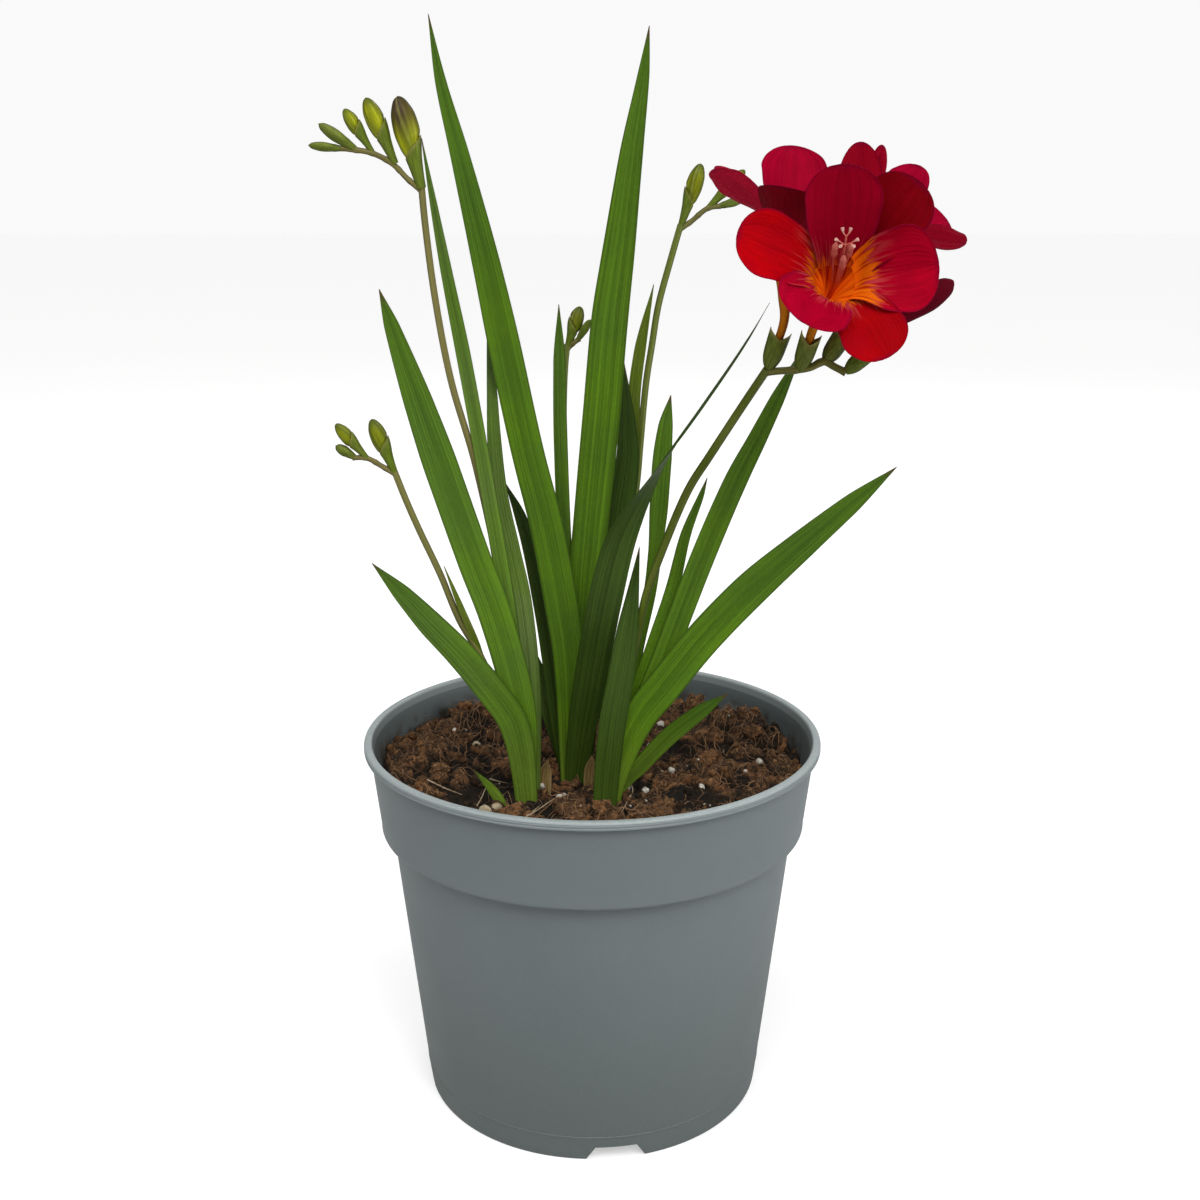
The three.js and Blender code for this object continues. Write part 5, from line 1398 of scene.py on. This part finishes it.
# Soil. Each heap is x, y, rise and reach, as in the drawing, and each shoot x and y.
soil = {
    "clearance": 0.3, "sides": 264, "rings": 92, "clods": 12, "crumbs": 1500, "crumbReach": 79,
    "heaps": [
        [-46, 44, 5, 15], [-12, 52, 4, 16], [60, 36, 6, 14], [28, 56, 3, 14], [-62, 8, 3, 13],
        [52, -16, 2.5, 14], [24, -62, 2, 13], [-8, -58, 2.5, 11], [-46, -40, -3, 12], [38, 14, -4, 13],
        [-26, 12, -2.5, 14]],
    "shoots": [(-24, -31.4), (-7, -14.2), (6, -34.4)], "shootSize": (9, 6.5),
}


def soilHeight(x, y):
    height = soilLevel + 0.9 * np.sin(0.19 * x + 0.7) * np.cos(0.23 * y) + 0.5 * np.sin(0.47 * (x - y))
    for cx, cy, rise, reach in soil["heaps"]:
        height = height + rise * np.exp(-((x - cx) ** 2 + (y - cy) ** 2) / reach ** 2)
    return height


def roughness(points, scale, depth=2):
    return np.array([noise.fractal(Vector(point), 0.9, 2.1, depth) for point in points * scale])


def flatPoints(x, y):
    return np.stack([x, y, 0 * x], axis=-1).reshape(-1, 3)


# How far a spot is from the cracks that part the clods, and from the hollows between heaps
def fromCrack(x, y, hollowShare=0.9):
    points = flatPoints(x, y)
    wide, narrow = np.abs(roughness(points - 30, 1 / 13)), np.abs(roughness(points + 20, 1 / 5))
    hollow = ease(0.1, 0.34, roughness(points + 90, 1 / 17))
    parted = ease(0, 0.3, wide) * mix(0.55, 1, ease(0, 0.3, narrow))
    return (parted * (1 - hollowShare * hollow)).reshape(np.shape(x))


# How far the real surface stands over or under its smooth heaps
def soilRelief(x, y):
    points = flatPoints(x, y)
    broad = roughness(points, 1 / 9.5, 3)
    small = roughness(points + 50, 1 / 3.1, 3)
    rough = (1.5 * broad + 1.1 * np.abs(small) ** 1.3 * np.sign(small)).reshape(np.shape(x))
    return rough + 3.8 * fromCrack(x, y, 0.45) - 2.3


def surfaceAt(x, y):
    return float(soilHeight(x, y) + soilRelief(np.array([x]), np.array([y]))[0])


def makeSoilMaterial():
    earth = Finish("darkPeat", specular=0.25)
    tone = earth.pair("tone")[0]
    crackShade = earth.pair("marks")[0]
    spots = earth.mottle(0.016, 0.0009)
    small = earth.mottle(0.003, 0.0004)
    bent = earth.grain(earth.place(), 260, 4, 0.65, 2.2)
    colour = earth.blend(spots["Patches"], (0.034, 0.018, 0.008), (0.260, 0.112, 0.040))
    colour = earth.coat(colour, earth.fade(small["Patches"], 0.3, 0.8, 0, 0.85), (0.012, 0.008, 0.004))
    # Painted shade: the fibres fade out in the cracks between clods and the hollows between heaps
    fibres = earth.times(earth.fade(bent, 0.52, 0.66), earth.fade(crackShade, 0.2, 0.7, 0.9, 0.1))
    colour = earth.coat(colour, fibres, (0.420, 0.210, 0.085))
    colour = earth.coat(colour, earth.fade(small["Specks"], 0.76, 0.95, 0, 0.6), (0.42, 0.28, 0.15))
    # Painted shade: the soil turns near black in the cracks and hollows
    colour = earth.coat(colour, earth.fade(crackShade, 0.25, 0.85, 0, 0.94), (0.006, 0.005, 0.003))
    colour = earth.coat(colour, tone, (0.240, 0.120, 0.048))
    relief = earth.calc("ADD", bent, earth.times(small["Specks"], 0.4))
    return earth.done(colour, earth.spread(small["Specks"], 0.82, 1), relief, 0.0012)


peat = makeSoilMaterial()


# One small ball of triangles, whose corners are moved to make crumbs and grains
def ballPoints(level):
    golden = (1 + 5 ** 0.5) / 2
    points = [unit(np.roll([short, long, 0.0], turn))
              for turn in range(3) for long in (golden, -golden) for short in (-1, 1)]
    faces = [[0, 11, 5], [0, 5, 1], [0, 1, 7], [0, 7, 10], [0, 10, 11], [1, 5, 9], [5, 11, 4], [11, 10, 2],
             [10, 7, 6], [7, 1, 8], [3, 9, 4], [3, 4, 2], [3, 2, 6], [3, 6, 8], [3, 8, 9], [4, 9, 5],
             [2, 4, 11], [6, 2, 10], [8, 6, 7], [9, 8, 1]]
    for _ in range(level):
        halves, split = {}, []
        for a, b, c in faces:
            mids = []
            for edge in ((a, b), (b, c), (c, a)):
                key = (min(edge), max(edge))
                if key not in halves:
                    halves[key] = len(points)
                    points.append(unit(points[edge[0]] + points[edge[1]]))
                mids.append(halves[key])
            d, e, f = mids
            split += [[a, d, f], [b, e, d], [c, f, e], [d, e, f]]
        faces = split
    return np.array(points), np.array(faces)


# Lumps by how many times their ball is split, how bumpy it is and on what scale
ball = {level: ballPoints(level) for level in (1, 2, 3)}
lumpForms = {
    "clod": {"level": 3, "bumps": 0.5, "scale": 1.6, "shape": (1.25, 1, 0.9), "raised": 0.25},
    "crumb": {"level": 1, "bumps": 0.7, "scale": 1.6, "shape": (1.3, 1, 0.8), "raised": 0.3},
    "grain": {"level": 2, "bumps": 0.35, "scale": 1.6, "shape": (1.15, 1, 0.9), "raised": 0.55},
    "pebble": {"level": 3, "bumps": 0.14, "scale": 0.9, "shape": (1.15, 1, 0.8), "raised": 0.45},
}


def addLump(pile, form, x, y, ground, size, tone=0.0, mark=0.0):
    points, faces = ball[form["level"]]
    shift = dice.uniform(-40, 40, 3)
    swell = 1 + form["bumps"] * roughness(points + shift, form["scale"])
    axes, _ = np.linalg.qr(dice.normal(size=(3, 3)))
    if np.linalg.det(axes) < 0:
        axes[:, 0] = -axes[:, 0]
    shaped = (points * swell[:, None] * (np.array(form["shape"]) * size)) @ axes.T
    first = pile.addPoints(shaped + [x, y, ground + form["raised"] * size])
    pile.addFaces(faces + first, np.tile([0, 0, tone, 0, mark, 0], (faces.size, 1)))


# A random place on the soil that no shoot takes
def soilSpot(reach):
    wide, deep = soil["shootSize"]
    while True:
        turn, out = dice.uniform(0, 2 * np.pi), reach * math.sqrt(dice.uniform(0, 1))
        x, y = out * math.cos(turn), out * math.sin(turn)
        if all(math.hypot((x - sx) / wide, (y - sy) / deep) > 1 for sx, sy in soil["shoots"]):
            return x, y


def makeSoil():
    angle = turns(soil["sides"])
    gap = 1.5 * soil["clearance"]
    edge = innerRadius(soilLevel) - gap
    edgeHeight = np.minimum(soilHeight(edge * np.cos(angle), edge * np.sin(angle)), pot["height"] - 6)
    rings = []
    for z in (floorTop + soil["clearance"], 40, 75, stepFoot, stepTop):
        radius = float(innerRadius(z)) - gap
        rings.append(np.stack([radius * np.cos(angle), radius * np.sin(angle), 0 * angle + z], axis=1))
    wallRadius = innerRadius(edgeHeight) - gap
    for share in np.linspace(1, 0.006, soil["rings"]):
        x, y = wallRadius * share * np.cos(angle), wallRadius * share * np.sin(angle)
        z = np.minimum(soilHeight(x, y) + soilRelief(x, y), pot["height"] - 2.5)
        rings.append(np.stack([x, y, z], axis=1))
    rings = np.array(rings)
    # Nearness to the cracks and hollows, which the peat finish paints as shade
    crackShade = closeRing(1 - fromCrack(rings[..., 0], rings[..., 1]))
    around, along = evenly(soil["sides"] + 1)[None], evenly(len(rings))[:, None]
    pile = SkinPile()
    pile.addLoft(rings, skinData(around, along, (0, 0), (crackShade, 0)))
    for number in range(soil["clods"]):
        turn = 2.4 * number
        reach = 44 + 27 * abs(math.sin(1.7 * number))
        size = 2.6 + 1.6 * abs(math.sin(2.3 * number + 1))
        x, y = reach * math.cos(turn), reach * math.sin(turn)
        addLump(pile, lumpForms["clod"], x, y, float(soilHeight(x, y)), size, 0.1)
    pile.build("soilBall", peat, ["soil"], crease=180)
    crumbs = SkinPile()
    for number in range(soil["crumbs"]):
        x, y = soilSpot(soil["crumbReach"])
        size = 0.35 + 1.4 * dice.uniform() ** 4
        # Crumbs near the cracks carry the same painted shade, and are kept from light tones there
        dark = 0.9 - 0.9 * float(fromCrack(np.array([x]), np.array([y]))[0])
        tone = dice.uniform(0, 0.7 - 0.6 * dark)
        addLump(crumbs, lumpForms["crumb"], x, y, surfaceAt(x, y), size, tone, dark)
    crumbs.build("soilCrumbs", peat, crease=180)


makeSoil()
print("soil made")


# Coir strands lie over the soil, and small things of other kinds lie between them
def makeStrandMaterial():
    coir = Finish("coirStrand")
    spots = coir.mottle(0.004, 0.0005)
    colour = coir.blend(coir.pair("tone")[0], (0.050, 0.022, 0.009), (0.330, 0.180, 0.078))
    colour = coir.coat(colour, spots["Patches"], (0.110, 0.050, 0.020), 0.4)
    return coir.done(colour, coir.spread(spots["Specks"], 0.7, 0.9), spots["Specks"], 0.0001)


def makeGrainMaterial(name, pale, dark, patch):
    grain = Finish(name)
    spots = grain.mottle(patch, 0.0003)
    colour = grain.blend(spots["Patches"], pale, dark)
    colour = grain.coat(colour, grain.pair("tone")[0], dark, 0.5)
    return grain.done(colour, grain.spread(spots["Specks"], 0.7, 0.95), spots["Specks"], 0.0002)


# Small things of other kinds, as x, y and size, and roots as x, y and height over the soil.
# Dust is spread by its reach, its smallest size and its largest.
smallThings = {
    "dust": 46, "dustSpread": (76, 0.25, 0.5),
    "perlite": [
        [-54.3, -6.1, 0.8], [-64.2, -23.6, 0.7], [-18.4, -26.4, 1.1], [-11.9, -28.3, 1.2],
        [-10.4, -26.6, 1.0], [62.3, -8.1, 1.2], [29.2, -13.0, 1.2], [39.3, -27.3, 1.0],
        [29.1, -47.9, 1.3], [19.1, -27.3, 1.2], [27.4, 37.1, 1.4], [34.7, -52.2, 0.8], [42.6, -47.9, 0.6],
        [39.5, -39.1, 0.6], [55.2, -8.1, 0.8], [56.2, -16.0, 0.7], [12.5, -23.5, 1.4], [-30, 40, 1.0],
        [12, 48, 0.9], [-55, 30, 0.8], [46, 44, 0.9], [-8, 66, 1.1], [-68, 2, 0.7], [70, 12, 0.8],
        [4, -66, 0.7], [22, 20, 0.9]],
    "pebbles": [[-37.7, -43.6, 2.3], [-33.8, -39.1, 2.0], [-45.2, 18.0, 1.9], [-27, -36, 1.2]],
    "roots": [
        [[-60.0, -21.6, 0.4], [-53.1, -25.3, 1.6], [-47.1, -27.2, 0.6]],
        [[-28.1, -58.9, 0.5], [-21.3, -53.0, 2.2], [-13.3, -42.7, 1.0]],
        [[-38.1, -12.8, 0.5], [-34.5, -15.8, 1.6], [-31.3, -14.8, 0.5]],
        [[8.7, -22.5, 2.2], [12.3, -23.5, 3.6], [14.4, -28.2, 3.0], [12.6, -38.7, 1.6], [9.9, -50.0, 0.5]],
        [[5.9, -45.8, 1.6], [9.6, -53.7, 1.5], [14.5, -63.0, 0.4]],
        [[-22.6, -53.0, 0.4], [-19.8, -45.3, 1.2], [-18.3, -39.1, 0.8]],
        [[-41.8, -35.5, 0.3], [-40.1, -30.0, 1.8], [-38.3, -24.4, 3.4]]],
}
strandForm = {
    "tufts": [
        (-46, 44), (-58, 30), (-12, 52), (60, 36), (66, 22), (28, 56), (-62, 8), (52, -16), (24, -60),
        (-8, -56)],
    "count": 1200, "tuftReach": 9, "reach": 77, "edge": 78.5, "bends": 5, "thick": (0.09, 0.2),
}


# Two strands of three belong to a tuft, and each wanders over the soil in short steps
def makeStrands():
    pile = SkinPile()
    reach, edge, bends = strandForm["reach"], strandForm["edge"], strandForm["bends"]
    for number in range(strandForm["count"]):
        if number % 3:
            cx, cy = strandForm["tufts"][number % len(strandForm["tufts"])]
            x, y = (centre + dice.normal() * strandForm["tuftReach"] for centre in (cx, cy))
            if math.hypot(x, y) > reach:
                x, y = soilSpot(reach - 1)
        else:
            x, y = soilSpot(reach)
        turn = dice.uniform(0, 2 * np.pi)
        length = 4 + 11 * dice.uniform() ** 1.5
        arch = 0.3 + 2.4 * dice.uniform() ** 2
        points = []
        for step in evenly(bends + 1):
            out = math.hypot(x, y)
            if out > edge:
                x, y = x * edge / out, y * edge / out
            lift = arch * math.sin(math.pi * (0.1 + 0.85 * step)) - 0.15
            points.append([x, y, surfaceAt(x, y) + lift])
            turn += dice.normal() * 0.45
            x, y = x + length / bends * math.cos(turn), y + length / bends * math.sin(turn)
        radii = dice.uniform(*strandForm["thick"]) * (1 - 0.5 * np.abs(np.linspace(-1, 1, 11)) ** 3)
        addCord(pile, points, radii, 4, (dice.uniform() ** 1.4, 0))
    pile.build("coirStrands", makeStrandMaterial(), crease=180)


def makeLumps(name, form, spots, material):
    pile = SkinPile()
    for x, y, size in spots:
        addLump(pile, form, x, y, surfaceAt(x, y), size)
    pile.build(name, material, crease=180)


def makeSmallThings():
    reach, smallest, largest = smallThings["dustSpread"]
    dust = [[*soilSpot(reach), dice.uniform(smallest, largest)] for _ in range(smallThings["dust"])]
    perlite = makeGrainMaterial("whitePerlite", (0.74, 0.70, 0.62), (0.50, 0.45, 0.36), 0.0009)
    makeLumps("perliteGrains", lumpForms["grain"], smallThings["perlite"] + dust, perlite)
    stone = makeGrainMaterial("paleStone", (0.50, 0.42, 0.28), (0.30, 0.23, 0.13), 0.0016)
    makeLumps("palePebbles", lumpForms["pebble"], smallThings["pebbles"], stone)
    roots = SkinPile()
    steps = evenly(31)
    for line in smallThings["roots"]:
        raised = [[x, y, height + surfaceAt(x, y)] for x, y, height in line]
        addCord(roots, raised, 0.26 * (1 - 0.6 * steps ** 2) * (1 + 0.15 * np.sin(steps * 40)), 8, (0.1, 0))
    rootSkin = makeGrainMaterial("rootSkin", (0.52, 0.42, 0.28), (0.30, 0.20, 0.11), 0.003)
    roots.build("paleRoots", rootSkin, crease=180)


makeStrands()
makeSmallThings()
print("strands and grains made")


# The corms lie in the soil, where the drawing has them
def makeCormSkin():
    corm = Finish("cormSkin")
    spots = corm.mottle(0.004, 0.0005)
    x, y, z = corm.parts(corm.place())
    bands = corm.grain(corm.add("CombineXYZ", {0: x, 1: y, 2: corm.times(z, 6)})[0], 300, 2)
    colour = corm.blend(bands, (0.34, 0.22, 0.10), (0.18, 0.10, 0.045))
    colour = corm.coat(colour, spots["Patches"], (0.26, 0.15, 0.07), 0.5)
    return corm.done(colour, corm.spread(spots["Specks"], 0.6, 0.85), bands, 0.0004)


cormSkin = makeCormSkin()
for name in ("corm_left", "corm_middle", "corm_right"):
    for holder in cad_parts[name].material_slots:
        holder.material = cormSkin

# Floor, light and camera, in metres
floorForm = {"size": 30, "glow": 0.5}
lights = {
    "keyLight": {"place": (0.55, -1.3, 1.6), "aim": (0, 0, 0.2), "size": 0.9, "power": 17},
    "sideLight": {"place": (1.5, -0.35, 0.55), "aim": (0, 0, 0.12), "size": 0.8, "power": 7.5},
    "fillLight": {"place": (-1.4, -0.9, 1.1), "aim": (0, 0, 0.2), "size": 1.2, "power": 3},
    "backLight": {"place": (0.4, 1.4, 1.5), "aim": (0, 0, 0.25), "size": 1.4, "power": 6},
}
topLight = {"tilt": (-24, 14), "strength": 1.6, "spread": 50}
roomLight = {"lit": 0.28, "seen": 0.95}
cameraView = {"place": (0, -0.516, 0.332), "down": 15.3, "right": 0.314, "lens": 43.74}


# One value for the camera and another for the light that a surface sends on
def seenAs(nodes, lit, seen):
    return nodes.spread(nodes.add("LightPath")["Is Camera Ray"], lit, seen)


def makeFloor():
    pale = Finish("paleFloor", specular=0.1)
    spots = pale.mottle(0.6, 0.004)
    colour = pale.blend(pale.times(spots["Patches"], 0.3), (0.60, 0.60, 0.597), (0.62, 0.62, 0.62))
    pale.put(colour, pale.shader["Base Color"])
    pale.put(0.9, pale.shader["Roughness"])
    pale.put((1, 1, 1), pale.shader["Emission Color"])
    pale.put(seenAs(pale, 0, floorForm["glow"]), pale.shader["Emission Strength"])
    mesh = bpy.data.meshes.new("floor")
    half = floorForm["size"] / 2
    corners = [(-half, -half, 0), (half, -half, 0), (half, half, 0), (-half, half, 0)]
    mesh.from_pydata(corners, [], [(0, 1, 2, 3)])
    mesh.materials.append(pale.material)
    floor = linked("floor", mesh)


def makeLights():
    for name, light in lights.items():
        lamp = bpy.data.lights.new(name, "AREA")
        lamp.shape = "DISK"
        lamp.size = light["size"]
        lamp.energy = light["power"]
        lampObject = linked(name, lamp)
        lampObject.location = light["place"]
        aim = Vector(light["aim"]) - Vector(light["place"])
        lampObject.rotation_euler = aim.to_track_quat("-Z", "Y").to_euler()
    sky = bpy.data.lights.new("topLight", "SUN")
    sky.energy = topLight["strength"]
    sky.angle = math.radians(topLight["spread"])
    linked("topLight", sky).rotation_euler = [math.radians(-tilt) for tilt in topLight["tilt"]] + [0]


def makeRoom():
    world = bpy.data.worlds.new("paleRoom")
    world.use_nodes = True
    background = world.node_tree.nodes["Background"].inputs
    nodes = Nodes(world.node_tree)
    nodes.put((1, 1, 1), background["Color"])
    nodes.put(seenAs(nodes, roomLight["lit"], roomLight["seen"]), background["Strength"])
    bpy.context.scene.world = world


def makeCamera():
    eye = bpy.data.cameras.new("photoView")
    eye.lens = cameraView["lens"]
    eye.sensor_width = 36
    eye.sensor_fit = "HORIZONTAL"
    eye.clip_end = 100
    camera = linked("photoView", eye)
    camera.location = cameraView["place"]
    camera.rotation_euler = (math.radians(90 - cameraView["down"]), 0, -math.radians(cameraView["right"]))
    bpy.context.scene.camera = camera


makeFloor()
makeLights()
makeRoom()
makeCamera()
bpy.context.scene.view_settings.view_transform = "Standard"
print("stage made")
